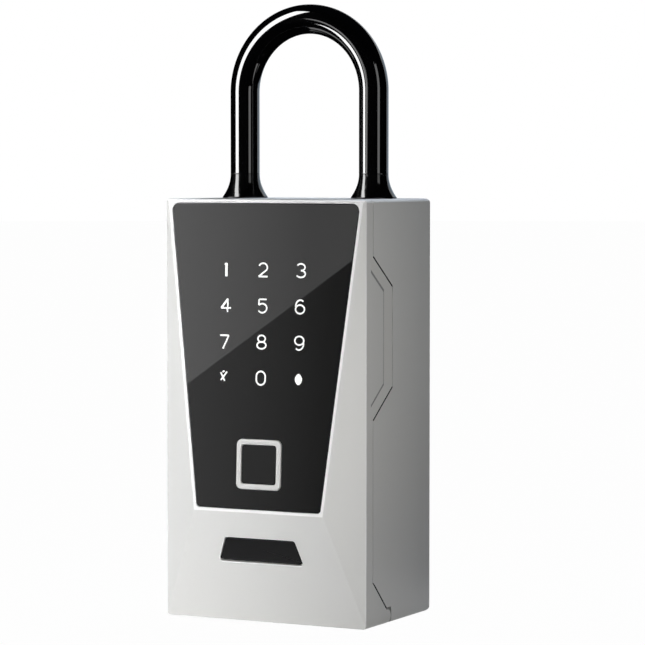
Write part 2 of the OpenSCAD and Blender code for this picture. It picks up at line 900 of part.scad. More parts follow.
module low_post() {
    top = liner_back - liner_t - seat_gap;
    translate([low_screw_x, 0, low_screw_z]) rotate([-90, 0, 0]) cylinder(r = low_post_r, h = top);
}

module high_boss() {
    height = 1.2;
    translate([high_screw_x, flange_y - height, high_screw_z]) rotate([-90, 0, 0])
        cylinder(r = high_boss_r, h = height);
}

// Ledge under the socket's board
module usb_ledge() {
    on_lower() translate([
        usb_board_w / 2 - usb_ledge_w,
        port_mid_v - usb_h / 2 - usb_board_t - usb_ledge_t,
        -port_wall - usb_ledge_l
    ])
        cube([usb_ledge_w, usb_ledge_t, usb_ledge_l + sunk]);
}

// Pocket for the glass, with openings for the touch board and the reader
module glass_pocket() {
    depth = glass_recess + glass_t + seat_gap;
    on_front() {
        translate([0, 0, -depth]) linear_extrude(depth + ridge_proud)
            polygon(rounded(inset_trapezoid(ridge_hw, top_hw, front_len, glass_margin), glass_r));
        translate([0, board_mid, -far / 2]) linear_extrude(far / 2)
            square([board_w + 4 * seat_gap, board_h + 4 * seat_gap], center = true);
        translate([0, reader_v, -far / 2]) linear_extrude(far / 2)
            round_rect(reader_hole, reader_hole, reader_r);
    }
}

// Pocket for the port cover, its pin and the slot to the socket
module port_pocket() {
    on_lower() {
        translate([0, 0, -port_floor]) linear_extrude(port_floor + over)
            polygon(rounded(port_outline(0), port_r));
        translate([0, port_mid_v, -2 * front_wall]) linear_extrude(2 * front_wall)
            round_rect(usb_w + usb_slot_gap, usb_h + usb_slot_gap, usb_h / 2);
        translate([0, port_axis_v, -port_axis_n]) rotate([0, 90, 0])
            cylinder(d = port_pin_d, h = port_base_w + 2 * port_pin_seat + over, center = true);
    }
}

// Keypad glass
module glass_panel() {
    outline = inset_trapezoid(ridge_hw, top_hw, front_len, glass_margin + seat_gap);
    color("#1b1b1c") in_case() on_front() difference() {
        translate([0, 0, -glass_recess - glass_t]) linear_extrude(glass_t)
            polygon(rounded(outline, glass_r - seat_gap));
        translate([0, reader_v, -far / 2]) linear_extrude(far)
            round_rect(reader_outer + seat_gap, reader_outer + seat_gap, reader_r);
    }
}

// Touch and control board behind the glass, with its chips
module touch_board() {
    top = glass_recess + glass_t + seat_gap;
    color("#1f5a34") in_case() on_front()
        translate([0, board_mid, -top - board_t]) {
            linear_extrude(board_t) round_rect(board_w, board_h, board_r);
            for (chip = chips)
                translate([chip.x, chip.y, -chip_t / 2])
                    cube([chip[2], chip[3], chip_t + sunk], center = true);
        }
}

// Bright frame of the reader, held behind the glass by its flange
module fingerprint_bezel() {
    under_glass = glass_recess + glass_t + seat_gap / 2;
    flange_side = reader_outer + 2 * reader_flange_w;
    color("#e4e4e4") in_case() on_front() translate([0, reader_v, 0]) difference() {
        union() {
            translate([0, 0, -under_glass - reader_flange_t]) {
                linear_extrude(under_glass + reader_flange_t + reader_proud)
                    round_rect(reader_outer, reader_outer, reader_r);
                linear_extrude(reader_flange_t) round_rect(flange_side, flange_side, reader_r);
            }
        }
        translate([0, 0, -far / 2]) linear_extrude(far)
            round_rect(reader_inner, reader_inner, reader_r / 2);
    }
}

// Reader: the sensing face in the frame and its module behind
module fingerprint_sensor() {
    side = reader_inner - seat_gap;
    face_drop = 0.25;
    module_side = reader_outer - 1;
    module_t = 1.8;
    bezel_back = glass_recess + glass_t + seat_gap + reader_flange_t;
    back = bezel_back + module_t;
    color("#151516") in_case() on_front() translate([0, reader_v, 0]) {
        translate([0, 0, -back]) {
            linear_extrude(back + reader_proud - face_drop) round_rect(side, side, reader_r / 2);
            linear_extrude(module_t) round_rect(module_side, module_side, reader_r / 2);
        }
    }
}

// Rubber seal on the liner's flange, open at the base
module door_seal() {
    color("#1a1a1a") in_case() difference() {
        block([-flange_hw, seal_y, flange_bottom], [flange_hw, seal_y + seal_t, flange_top]);
        block([seal_w - flange_hw, 0, 0], [flange_hw - seal_w, far, flange_top - seal_w]);
    }
}

// Inner housing of the door: flange, latch compartment and battery bay
module door_liner() {
    room_hw = liner_hw - liner_t;
    room_back = liner_back - liner_t;
    color("#242426") in_case() difference() {
        union() {
            difference() {
                union() {
                    block([-flange_hw, flange_y, flange_bottom], [flange_hw, seal_y, flange_top]);
                    block([-liner_hw, flange_y, liner_bottom], [liner_hw, liner_back, liner_top]);
                }
                block([-room_hw, 0, liner_bottom + liner_t], [room_hw, room_back, liner_top - liner_t]);
            }
            block([-bay_hw - liner_t, flange_y, bay_bottom - liner_t],
                [bay_hw + liner_t, liner_back, bay_top + liner_t]);
            at_latch() both_sides() bolt_rail();
            motor_shelf();
        }
        block([-bay_hw, seal_y, bay_bottom], [bay_hw, far, bay_top]);
        at_latch() block([-bolt_w / 2 - bolt_gap, bolt_front - bolt_gap, liner_top - 2 * liner_t],
            [bolt_w / 2 + bolt_gap, bolt_back + bolt_gap, liner_top + over]);
        both_sides() {
            translate([low_screw_x, liner_back + over, low_screw_z]) rotate([90, 0, 0])
                cylinder(d = screw_d, h = liner_t + 2 * over);
            translate([high_screw_x, seal_y + over, high_screw_z]) rotate([90, 0, 0])
                cylinder(d = screw_d, h = flange_t + 2 * over);
        }
    }
}

// Rail beside the bolt
module bolt_rail() {
    side = bolt_w / 2 + bolt_gap;
    block([side, bolt_front, bay_top + liner_t - sunk],
        [side + rail_t, liner_back - liner_t + sunk, liner_top - liner_t + sunk]);
}

// Shelf that the motor stands on
module motor_shelf() {
    top = pinion_z - motor_h / 2 - seat_gap;
    block([-liner_hw + liner_t - sunk, pinion_y, top - liner_t],
        [latch_x - motor_x, liner_back - liner_t + sunk, top]);
}

module liner_screws() {
    color("#b8b8b8") in_case() both_sides() {
        translate([low_screw_x, liner_back, low_screw_z]) rotate([-90, 0, 0])
            screw(liner_t + low_screw_bite);
        translate([high_screw_x, seal_y, high_screw_z]) rotate([-90, 0, 0])
            screw(flange_t + high_screw_bite);
    }
}

// Cells side by side, each with its raised end turned the other way from the last
module battery_cells() {
    nub_d = 3.6;
    nub_h = 1;
    edge = 0.6;
    can_r = cell_d / 2;
    color("#3f6f8f") in_case() for (i = [0 : cell_count - 1])
        translate([(i - (cell_count - 1) / 2) * cell_pitch, cell_y, bay_bottom + bay_l / 2])
            rotate([i % 2 * 180, 0, 0]) translate([0, 0, -cell_l / 2])
                rotate_extrude() polygon([
                    [0, 0], [can_r - edge, 0], [can_r, edge],
                    [can_r, cell_l - nub_h - edge], [can_r - edge, cell_l - nub_h],
                    [nub_d / 2, cell_l - nub_h], [nub_d / 2, cell_l], [0, cell_l]
                ]);
}

// Leaf contacts at both ends of each cell
module battery_contacts() {
    bump_d = 4;
    color("#c8c0a0") in_case() for (i = [0 : cell_count - 1], end = [-1, 1])
        translate([(i - (cell_count - 1) / 2) * cell_pitch, cell_y, bay_bottom + bay_l / 2])
            at_end(end) translate([0, 0, bay_l / 2 - seat_gap]) {
                translate([-contact_w / 2, -contact_w / 2, -contact_t])
                    cube([contact_w, contact_w, contact_t]);
                translate([0, 0, seat_gap * 2 - contact_room])
                    cylinder(d = bump_d, h = contact_room - contact_t);
            }
}

// Child as drawn for the upper end, or turned over for the lower end
module at_end(end) {
    if (end > 0) children();
    else mirror([0, 0, 1]) children();
}

// Gear motor lying across the latch compartment, with a bore for the pinion's shaft
module latch_motor() {
    can_step = 0.5;
    gearbox_share = 0.45;
    can = motor_d - 2 * can_step;
    gearbox = motor_l * gearbox_share;
    color("#9c9ca0") in_case() at_latch() translate([-motor_x, pinion_y, pinion_z]) difference() {
        union() {
            translate([-gearbox, -motor_d / 2, -motor_h / 2]) cube([gearbox, motor_d, motor_h]);
            intersection() {
                translate([-motor_l, 0, 0]) rotate([0, 90, 0]) cylinder(d = motor_h, h = motor_l);
                translate([-motor_l, -can / 2, -motor_h / 2]) cube([motor_l, can, motor_h]);
            }
        }
        translate([-shaft_depth - seat_gap, 0, 0]) rotate([0, 90, 0])
            cylinder(d = shaft_d + 2 * run_gap, h = shaft_depth + seat_gap + over);
    }
}

// Socket shell with its tongue, set square to the lower facet
module usb_socket() {
    floor_t = 1;
    tongue = [6.6, 0.7, usb_l - 0.8];
    inside = [usb_w - 2 * usb_shell, usb_h - 2 * usb_shell];
    color("#b6b6ba") in_case() on_lower()
        translate([0, port_mid_v, -port_wall - seat_gap - usb_l]) {
            difference() {
                linear_extrude(usb_l) round_rect(usb_w, usb_h, usb_h / 2 - usb_shell);
                translate([0, 0, floor_t]) linear_extrude(usb_l)
                    round_rect(inside.x, inside.y, inside.y / 2 - usb_shell);
            }
            translate([-tongue.x / 2, -tongue.y / 2, 0]) cube(tongue);
        }
}

module usb_board() {
    color("#1f5a34") in_case() on_lower()
        translate([
            -usb_board_w / 2,
            port_mid_v - usb_h / 2 - usb_board_t,
            -port_wall - 3 * seat_gap - usb_board_l
        ])
            cube([usb_board_w, usb_board_t, usb_board_l]);
}

module port_cover_pin() {
    color("#b0b0b0") in_case() on_lower() translate([0, port_axis_v, -port_axis_n])
        rotate([0, 90, 0]) cylinder(d = port_pin_d, h = port_base_w + 2 * port_pin_seat, center = true);
}

// Steel bolt with a rack on its front
module latch_bolt() {
    half_pitch = rack_pitch / 4 - gear_backlash / 4;
    half_root = half_pitch + dedendum * tan(pressure_angle);
    half_tip = half_pitch - gear_module * tan(pressure_angle);
    nose = 0.5;
    color("#b4b4b6") in_case() at_latch() {
        difference() {
            block([-bolt_w / 2, bolt_front, bolt_top - bolt_l], [bolt_w / 2, bolt_back, bolt_top]);
            both_sides() translate([bolt_w / 2, 0, bolt_top]) rotate([0, 45, 0])
                cube([2 * nose, far, 2 * nose], center = true);
        }
        across(rack_w) for (k = [rack_first : rack_last])
            translate([0, pinion_z + (k + 0.5) * rack_pitch])
                polygon([
                    [bolt_front + sunk, -half_root],
                    [bolt_front, -half_root],
                    [rack_y - gear_module, -half_tip],
                    [rack_y - gear_module, half_tip],
                    [bolt_front, half_root],
                    [bolt_front + sunk, half_root]
                ]);
    }
}

// Involute pinion on its shaft
module latch_pinion() {
    root_r = pitch_r - dedendum;
    tip_r = pitch_r + gear_module;
    base_r = pitch_r * cos(pressure_angle);
    steps = 5;
    radii = concat([root_r], [for (k = [0 : steps]) base_r + (tip_r - base_r) * k / steps]);
    tooth = concat(
        [for (r = radii) [r, -tooth_half_angle(r)]],
        [for (i = [len(radii) - 1 : -1 : 0]) [radii[i], tooth_half_angle(radii[i])]]
    );
    color("#c2b280") in_case() at_latch() translate([0, pinion_y, pinion_z]) {
        across(pinion_w) polygon([
            for (i = [0 : pinion_teeth - 1], p = tooth)
                let (angle = p.y + i * 360 / pinion_teeth)
                p.x * [cos(angle), sin(angle)]
        ]);
        translate([-motor_x - shaft_depth, 0, 0]) rotate([0, 90, 0])
            cylinder(d = shaft_d, h = motor_x + shaft_depth + pinion_w / 2 + shaft_end);
    }
}

// Lid of the battery bay, with a rim that seats in it
module battery_cover() {
    lap = liner_t;
    rim = 0.9;
    rim_d = 0.25;
    finger_d = 9;
    color("#2c2c2e") in_case() {
        difference() {
            block([-bay_hw - lap, liner_back, bay_bottom - lap],
                [bay_hw + lap, liner_back + battery_cover_t, bay_top + lap]);
            translate([0, liner_back + battery_cover_t, bay_top - finger_d]) rotate([90, 0, 0])
                cylinder(d = finger_d, h = battery_cover_t / 2);
        }
        difference() {
            block([-bay_hw + bolt_gap, liner_back - rim_d, bay_bottom + bolt_gap],
                [bay_hw - bolt_gap, liner_back, bay_top - bolt_gap]);
            block([-bay_hw + bolt_gap + rim, 0, bay_bottom + bolt_gap + rim],
                [bay_hw - bolt_gap - rim, far, bay_top - bolt_gap - rim]);
        }
    }
}

// Port cover with its lower edge rounded about the pin
module port_cover() {
    knuckle_w = port_base_w - 3 * port_r;
    color("#161617") in_case() on_lower() difference() {
        union() {
            translate([0, 0, -glass_recess - port_cover_t]) linear_extrude(port_cover_t)
                intersection() {
                    polygon(rounded(port_outline(port_gap), port_r - port_gap));
                    translate([-port_base_w / 2, port_axis_v]) square([port_base_w, port_h]);
                }
            translate([0, port_axis_v, -port_axis_n]) rotate([0, 90, 0])
                cylinder(d = port_cover_t, h = knuckle_w, center = true);
        }
        translate([0, port_axis_v, -port_axis_n]) rotate([0, 90, 0])
            cylinder(d = port_pin_d + 2 * run_gap, h = port_base_w + over, center = true);
    }
}

body_shell();
shackle_bushes();
lock_cover();
lock_cover_screws();
strike_plate();
strike_screws();
key_hook();
key_hook_screws();
hinge_pins();
shackle_bar();
shackle_sleeve();
shackle_boots();
shackle_lock_slider();
door_shell();
glass_panel();
touch_board();
fingerprint_bezel();
fingerprint_sensor();
door_seal();
door_liner();
liner_screws();
battery_cells();
battery_contacts();
latch_motor();
usb_socket();
usb_board();
port_cover_pin();
latch_bolt();
latch_pinion();
battery_cover();
port_cover();
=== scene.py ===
"""Key lockbox with a touch keypad: its finishes, softened edges, printed keys and studio."""

import json
import math

import bmesh
import bpy
from bpy.props import FloatProperty, FloatVectorProperty, PointerProperty
from mathutils import Matrix, Vector
from mathutils.geometry import intersect_line_line

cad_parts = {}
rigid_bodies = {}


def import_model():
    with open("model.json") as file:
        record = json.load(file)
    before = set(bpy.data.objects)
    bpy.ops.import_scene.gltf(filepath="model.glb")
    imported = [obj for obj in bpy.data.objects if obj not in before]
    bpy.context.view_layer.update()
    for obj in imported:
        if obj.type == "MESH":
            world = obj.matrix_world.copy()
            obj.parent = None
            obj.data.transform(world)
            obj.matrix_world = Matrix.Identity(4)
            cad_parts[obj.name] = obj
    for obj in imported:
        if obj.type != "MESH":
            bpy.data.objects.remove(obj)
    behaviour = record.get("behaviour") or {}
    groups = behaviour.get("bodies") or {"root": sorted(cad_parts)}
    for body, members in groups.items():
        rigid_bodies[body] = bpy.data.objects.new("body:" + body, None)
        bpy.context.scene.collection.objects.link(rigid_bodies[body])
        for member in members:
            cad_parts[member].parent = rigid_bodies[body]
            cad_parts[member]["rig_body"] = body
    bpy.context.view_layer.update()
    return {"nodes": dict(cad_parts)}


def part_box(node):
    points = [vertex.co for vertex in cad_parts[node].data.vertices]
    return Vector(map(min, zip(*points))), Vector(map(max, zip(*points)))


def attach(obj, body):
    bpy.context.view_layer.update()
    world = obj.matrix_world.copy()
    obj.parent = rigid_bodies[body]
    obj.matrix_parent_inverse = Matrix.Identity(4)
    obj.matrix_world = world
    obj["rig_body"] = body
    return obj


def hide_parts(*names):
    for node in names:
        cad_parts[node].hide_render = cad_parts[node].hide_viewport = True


bl_info = {
    "name": "Key lockbox",
    "version": (1, 0, 0),
    "blender": (4, 5, 0),
    "location": "View3D > Sidebar > Lockbox",
    "description": "Dresses the packed key lockbox and sets up its studio",
    "category": "Object",
}

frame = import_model()

MM = 0.001
WELD = 0.002 * MM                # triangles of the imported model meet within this
CUT = WELD / 20                  # a cut takes the vertices that lie nearer to it than this
SLIVER = WELD / 10               # shorter edges are left over from cuts
FLAT = math.radians(0.2)         # faces that turn less than this are one flat face
NEAR = math.radians(0.3)         # a face that turns less than this looks in a direction
CREASE = math.radians(32)        # sharper edges stay sharp in smooth shading
SHELL_CREASE = math.radians(5)   # the same on the shells, whose grips are shallow
ROUND_STEPS = 48                 # steps round a cell
SCREW_STEPS = 32                 # steps round a screw
SLEEVE_STEPS = 112               # steps round the shackle, which mirrors
ARCH_STEPS = 128                 # steps along its arch
ARRIS_STEPS = 3                  # flats that round an edge between two facets
GLASS_OUT = (0, -1, 0.0492)      # directions in which the front's flat faces look
LOWER_OUT = (0, -1, -0.1474)
FACET_OUT = (0.4107, -1, 0)
FLATTEN = Vector((1, 1, 0))      # keeps only what lies in the glass's plane
GLASS_SIDE = 12 * MM             # a side of the glass is longer, a step of its corners shorter
GLASS_BACK, GLASS_FRONT = -2 * MM, 0.2 * MM    # the glass's walls lie between, along its normal
GRIP_LOW, GRIP_HIGH = 57 * MM, 105 * MM    # heights between which the side grips lie
SEAM_LOW, SEAM_HIGH = 2 * MM, 118 * MM     # heights between which the seam's slants lie
SEAM_SIDE = 31.5 * MM            # the seam's walls reach out to the sides, beyond this

# Shares of a unit normal, which tell the faces of the shells apart
ACROSS = 0.02                    # less along X: runs straight across
SLANT = 0.3                      # more along Z: slanted or level
SIDEWAYS = 0.99                  # more along X: a flat side
GRIP_FALL = (0.9, 0.98)          # along X: the steep inner slope of a grip
TOP_FORWARD, TOP_UP = -0.4, 0.06     # along Y and Z: the round at the top of the front


def linear(code):
    """Linear RGBA of an sRGB hex colour."""
    parts = [int(code[i:i + 2], 16) / 255 for i in (1, 3, 5)]
    return [p / 12.92 if p <= 0.04045 else ((p + 0.055) / 1.055) ** 2.4 for p in parts] + [1.0]


def length(name, description, millimetres):
    """A length property that is given in millimetres."""
    return FloatProperty(name=name, description=description, default=millimetres * MM,
                         min=0.0, precision=5, unit="LENGTH")


def tint(name, description, code):
    """A colour property that is given as sRGB hex."""
    return FloatVectorProperty(name=name, description=description, default=linear(code),
                               size=4, min=0.0, max=1.0, subtype="COLOR")


def power(name, description, watts):
    """A lamp's power."""
    return FloatProperty(name=name, description=description, default=watts, min=0.0,
                         subtype="POWER")


class LockboxSizes(bpy.types.PropertyGroup):
    """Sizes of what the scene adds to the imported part."""

    ridge_edge: length("Ridge edge", "Reach of the round between the front's facets", 0.3)
    corner_edge: length("Corner edge", "Reach of the round between front, sides and base", 0.16)
    glass_rim: length("Glass rim", "Width of the rounding of the border round the glass", 0.14)
    glass_corner: FloatProperty(name="Glass corner", default=0.52, min=0.2, max=1.0,
                                description="Share of the packed radius at the glass's corners")
    port_rim: length("Port rim", "Width of the rounding of the port's opening", 0.25)
    glass_edge: length("Glass edge", "Width of the ground edge of the glass", 0.2)
    frame_edge: length("Frame edge", "Width of the rounding of the reader's frame", 0.35)
    # Painted shade: width of the dark strip beside the seam's slants
    seam_edge: length("Seam edge", "Width of bare primer beside the seam's slants", 0.22)
    sensor_edge: length("Sensor edge", "Width of the rounding of the sensor", 0.22)
    cover_edge: length("Cover edge", "Width of the rounding of the port's cover", 0.12)
    key_pitch: length("Key pitch", "Distance between the columns of digits", 12.0)
    row_pitch: length("Row pitch", "Distance between the rows of digits", 10.17)
    first_row: length("First row", "Height of the first row of digits above the base", 100.1)
    key_height: length("Key height", "Height of a digit between the middles of its strokes", 3.76)
    key_stroke: length("Key stroke", "Width of a digit's stroke", 0.47)
    print_build: length("Print build", "Thickness of the printed ink", 0.03)


class LockboxColours(bpy.types.PropertyGroup):
    """Colours of the finishes."""

    paint: tint("Paint", "Satin paint of the case and the door", "#e0e0de")
    # Painted highlight: the lighter paint of the rounded edges and the glass's border
    edge_paint: tint("Edge paint", "Paint where it is rubbed and polished", "#fafafa")
    glass: tint("Glass", "Print behind the keypad glass", "#232323")
    ink: tint("Ink", "Printed digits", "#f6f6f4")
    frame_silver: tint("Reader frame", "Lacquer of the reader's frame", "#d6d6d4")
    vinyl: tint("Vinyl", "Sleeve of the shackle", "#050506")
    black_plastic: tint("Black plastic", "Liner, covers and boots", "#1a1a1b")
    rubber: tint("Rubber", "Door seal", "#161616")
    steel: tint("Steel", "Shackle bar and plated steel", "#b9bbbd")
    brass: tint("Brass", "Slider of the shackle lock and pinion", "#c9a85c")
    board: tint("Board", "Solder mask of the circuit boards", "#1d5a37")
    cell: tint("Cell", "Sleeve of the cells", "#2b5c86")


class LockboxStudio(bpy.types.PropertyGroup):
    """Light and background."""

    key_power: power("Key light", "Lamp high on the left", 2.5)
    front_power: power("Front light", "Low lamp on the left", 0.232)
    top_power: power("Top light", "Lamp on the upper left of the front", 0.0115)
    fill_power: power("Fill light", "Lamp on the right side", 0.0465)
    rim_power: power("Rim light", "Bluish lamp behind, on the top of the case", 0.2)
    ambient: FloatProperty(name="Ambient", description="Light that comes from all round",
                           default=0.05, min=0.0)
    floor: tint("Floor", "Floor as it reflects light", "#9c9c9c")


def sizes():
    return bpy.context.scene.lockbox_sizes


def colours():
    return bpy.context.scene.lockbox_colours


# Materials

def add_node(tree, kind, inputs=None, **settings):
    """A new node. An input given as a socket is linked, any other is set on the node."""
    node = tree.nodes.new(kind)
    for name, value in settings.items():
        setattr(node, name, value)
    for name, value in (inputs or {}).items():
        if isinstance(value, bpy.types.NodeSocket):
            tree.links.new(value, node.inputs[name])
        else:
            node.inputs[name].default_value = value
    return node


def shade(colour, factor):
    """The colour made lighter or darker."""
    return [min(1.0, c * factor) for c in colour[:3]] + [1.0]


def surface(name, colour, roughness, grain, relief, variation=0.06, metallic=0.0,
            pattern="ShaderNodeTexNoise", patch=18.0, **sockets):
    """A finish with a fine relief, and with slow changes of colour and roughness.
    grain is the relief's size along X, Y and Z in mm, relief its depth in mm, and patch
    the size of the slow changes in mm."""
    found = bpy.data.materials.get(name)
    if found:
        return found
    material = bpy.data.materials.new(name)
    material.use_nodes = True
    tree = material.node_tree
    shader = tree.nodes["Principled BSDF"]
    shader.inputs["Metallic"].default_value = metallic
    for socket, value in sockets.items():
        shader.inputs[socket.replace("_", " ")].default_value = value
    spot = add_node(tree, "ShaderNodeTexCoord").outputs["Object"]
    fine = add_node(tree, "ShaderNodeMapping",
                    {"Vector": spot, "Scale": [1 / (g * MM) for g in grain]}).outputs[0]
    grains = add_node(tree, pattern, {"Vector": fine, "Scale": 1.0}).outputs[0]
    slow = add_node(tree, "ShaderNodeTexNoise",
                    {"Vector": spot, "Scale": 1 / (patch * MM), "Detail": 3.0}).outputs[0]
    blend = add_node(tree, "ShaderNodeMath", {0: slow, 1: grains}, operation="ADD").outputs[0]
    rough = add_node(tree, "ShaderNodeMapRange", {
        "Value": blend, "From Min": 0.6, "From Max": 1.4,
        "To Min": roughness[0], "To Max": roughness[1]}).outputs[0]
    mix = add_node(tree, "ShaderNodeMix", {
        0: blend, 6: shade(colour, 1 - variation), 7: shade(colour, 1 + variation / 2)},
        data_type="RGBA").outputs[2]
    bump = add_node(tree, "ShaderNodeBump", {
        "Height": grains, "Strength": 1.0, "Distance": relief * MM}).outputs[0]
    tree.links.new(rough, shader.inputs["Roughness"])
    tree.links.new(mix, shader.inputs["Base Color"])
    tree.links.new(bump, shader.inputs["Normal"])
    return material


def satin_paint():
    # Satin paint, sprayed and baked on cast zinc: soft sheen and a very shallow orange peel
    return surface("satin_paint", colours().paint, (0.42, 0.5), (0.7, 0.7, 0.7), 0.002,
                   variation=0.012, patch=40.0)


def edge_paint():
    # The same paint, lighter and glossier, on the rounded edges and the glass's border: a painted
    # highlight along them
    return surface("edge_paint", colours().edge_paint, (0.28, 0.36), (0.7, 0.7, 0.7), 0.002,
                   variation=0.01, patch=40.0)


def grip_paint():
    # The same paint, darker, on the steep inner slope of a finger grip: painted shade, a dark line
    # along the grip's crease
    return surface("grip_paint", shade(colours().paint, 0.42), (0.55, 0.65), (0.7, 0.7, 0.7),
                   0.002, variation=0.03, patch=40.0)


def black_primer():
    # Black paint on the slanted walls of the seams and round the sensor and the port's cover:
    # painted shade in the gaps
    return surface("black_primer", linear("#0a0a0a"), (0.7, 0.8), (0.4, 0.4, 0.4), 0.003)


def keypad_glass():
    # Toughened glass, printed black behind: mirror-smooth, with faint traces of wiping
    return surface("keypad_glass", colours().glass, (0.004, 0.012), (9.0, 9.0, 4.0), 0.0002,
                   variation=0.05, patch=22.0, IOR=1.5)


def key_ink():
    # Ceramic ink, screen printed and fired: flat white with a fine tooth, and a faint painted glow
    # on top of the light it gets
    return surface("key_ink", colours().ink, (0.5, 0.6), (0.15, 0.15, 0.15), 0.004,
                   variation=0.02, Emission_Color=linear("#ffffff"), Emission_Strength=0.25)


def silver_lacquer():
    # Silver lacquer on die-cast zinc: pale, bright and silky
    return surface("silver_lacquer", colours().frame_silver, (0.26, 0.34), (0.3, 0.3, 0.3), 0.002,
                   variation=0.03, patch=10.0)


def reader_coating():
    # Hard coating of a touch sensor: fine matt black
    return surface("reader_coating", shade(colours().glass, 0.8), (0.42, 0.5), (0.12, 0.12, 0.12),
                   0.004, variation=0.08, Specular_IOR_Level=0.1)


def glossy_vinyl():
    # Dipped vinyl: thick gloss with a slightly wavy skin
    return surface("glossy_vinyl", colours().vinyl, (0.03, 0.07), (7.0, 7.0, 11.0), 0.003,
                   variation=0.1, IOR=2.0)


def boot_plastic():
    # Moulded thermoplastic with a polished mould: gloss with a faint grain
    return surface("boot_plastic", colours().vinyl, (0.08, 0.14), (0.4, 0.4, 0.4), 0.002,
                   variation=0.1, IOR=1.7)


def cover_plastic():
    # Moulded ABS with a satin mould: even black with a soft sheen
    return surface("cover_plastic", colours().black_plastic, (0.34, 0.42), (0.2, 0.2, 0.2), 0.004,
                   Specular_IOR_Level=0.15)


def spark_abs():
    # Moulded ABS with a spark-eroded mould: dull black with a fine pebble
    return surface("spark_abs", colours().black_plastic, (0.5, 0.62), (0.35, 0.35, 0.35), 0.02,
                   variation=0.12, pattern="ShaderNodeTexVoronoi")


def seal_rubber():
    # Moulded silicone rubber: dull black with a dusty bloom
    return surface("seal_rubber", colours().rubber, (0.7, 0.85), (0.25, 0.25, 0.25), 0.006,
                   variation=0.2, patch=6.0)


def drawn_steel():
    # Hardened steel, drawn to a bar: long fine lines along the legs
    return surface("drawn_steel", shade(colours().steel, 0.7), (0.24, 0.38), (0.12, 0.12, 9.0),
                   0.004, variation=0.12, metallic=1.0)


def plated_steel():
    # Zinc-plated pressed steel: bright, with a slightly cloudy plating
    return surface("plated_steel", colours().steel, (0.24, 0.4), (0.3, 0.3, 0.3), 0.003,
                   variation=0.14, metallic=1.0, patch=5.0)


def blackened_steel():
    # Steel wire, blackened in oil: dark with a dull metal shine
    return surface("blackened_steel", linear("#2a2a2b"), (0.4, 0.55), (0.2, 0.2, 0.2), 0.002,
                   variation=0.15, metallic=1.0, patch=5.0)


def rolled_brass():
    # Rolled and stamped brass: fine rolling lines across the sheet
    return surface("rolled_brass", colours().brass, (0.22, 0.36), (8.0, 0.12, 0.12), 0.003,
                   variation=0.12, metallic=1.0, patch=6.0)


def spring_nickel():
    # Nickel-plated spring steel: bright and smooth
    return surface("spring_nickel", linear("#d2cdbd"), (0.16, 0.28), (0.2, 0.2, 0.2), 0.002,
                   variation=0.08, metallic=1.0, patch=4.0)


def motor_can():
    # Drawn steel can of a small motor: soft shine with lines along the can
    return surface("motor_can", shade(colours().steel, 0.85), (0.3, 0.42), (9.0, 0.15, 0.15), 0.003,
                   variation=0.1, metallic=1.0)


def solder_mask():
    # Glass-fibre board under green solder mask: tracks show as a shallow relief
    return surface("solder_mask", colours().board, (0.3, 0.45), (1.2, 1.2, 1.2), 0.02,
                   variation=0.35, pattern="ShaderNodeTexVoronoi", patch=8.0)


def cell_sleeve():
    # Shrunk PVC sleeve on a cell: smooth and glossy
    return surface("cell_sleeve", colours().cell, (0.18, 0.28), (3.0, 3.0, 9.0), 0.006,
                   variation=0.08)


def cell_band():
    # Gold foil printed on the upper part of a cell's sleeve: warm and glossy
    return surface("cell_band", linear("#b5894a"), (0.2, 0.3), (3.0, 3.0, 9.0), 0.006)


# Meshes

def once(items):
    """The items in their order, each once."""
    return list(dict.fromkeys(items))


def region(faces):
    """Faces with their edges and vertices."""
    return [*faces, *once(e for f in faces for e in f.edges),
            *once(v for f in faces for v in f.verts)]


def as_object(bm, name, materials):
    """The bmesh as a new object of the scene."""
    mesh = bpy.data.meshes.new(name)
    bm.to_mesh(mesh)
    bm.free()
    for material in materials:
        mesh.materials.append(material)
    made = bpy.data.objects.new(name, mesh)
    bpy.context.scene.collection.objects.link(made)
    return made


def join(bm, part):
    """Moves the bmesh of a part into another bmesh."""
    mesh = bpy.data.meshes.new("part")
    part.to_mesh(mesh)
    part.free()
    bm.from_mesh(mesh)
    bpy.data.meshes.remove(mesh)


def body_of(node):
    """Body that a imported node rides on."""
    return frame["nodes"][node]["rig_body"]


def welded(node):
    """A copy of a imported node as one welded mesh."""
    bm = bmesh.new()
    bm.from_mesh(frame["nodes"][node].data)
    bmesh.ops.remove_doubles(bm, verts=bm.verts, dist=WELD)
    bmesh.ops.dissolve_degenerate(bm, dist=WELD, edges=bm.edges)
    for face in bm.faces:
        face.material_index = 0
    return bm


def place(bm, name, body, materials, nodes=(), crease=CREASE):
    """Makes the bmesh a smooth-shaded piece that rides on a body and stands for nodes."""
    for face in bm.faces:
        face.smooth = True
    for edge in bm.edges:
        edge.smooth = (edge.calc_face_angle(math.pi) < crease
                       and len({f.material_index for f in edge.link_faces}) == 1)
    piece = as_object(bm, name, materials)
    flat = piece.modifiers.new("Flat faces", "WEIGHTED_NORMAL")
    flat.keep_sharp = True
    flat.weight = 100
    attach(piece, body)
    if nodes:
        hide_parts(*nodes)
    return piece


def dressed(node, name, slot, *materials):
    """A welded copy of a node in a new finish."""
    return place(welded(node), name, body_of(node), materials, [node])


def outer_plane(bm, toward):
    """Outermost flat face that looks about in a direction, as its normal and its distance
    from the origin."""
    toward = Vector(toward).normalized()
    near = [f for f in bm.faces if f.normal.angle(toward) < NEAR and f.calc_area() > MM * MM]
    face = max(near, key=lambda f: f.normal.dot(f.verts[0].co))
    return face.normal.copy(), face.normal.dot(face.verts[0].co)


def on_plane(bm, plane):
    """Faces that lie on a plane."""
    normal, distance = plane
    return [f for f in bm.faces if f.normal.dot(normal) > 0.99999
            and abs(f.calc_center_median().dot(normal) - distance) < WELD]


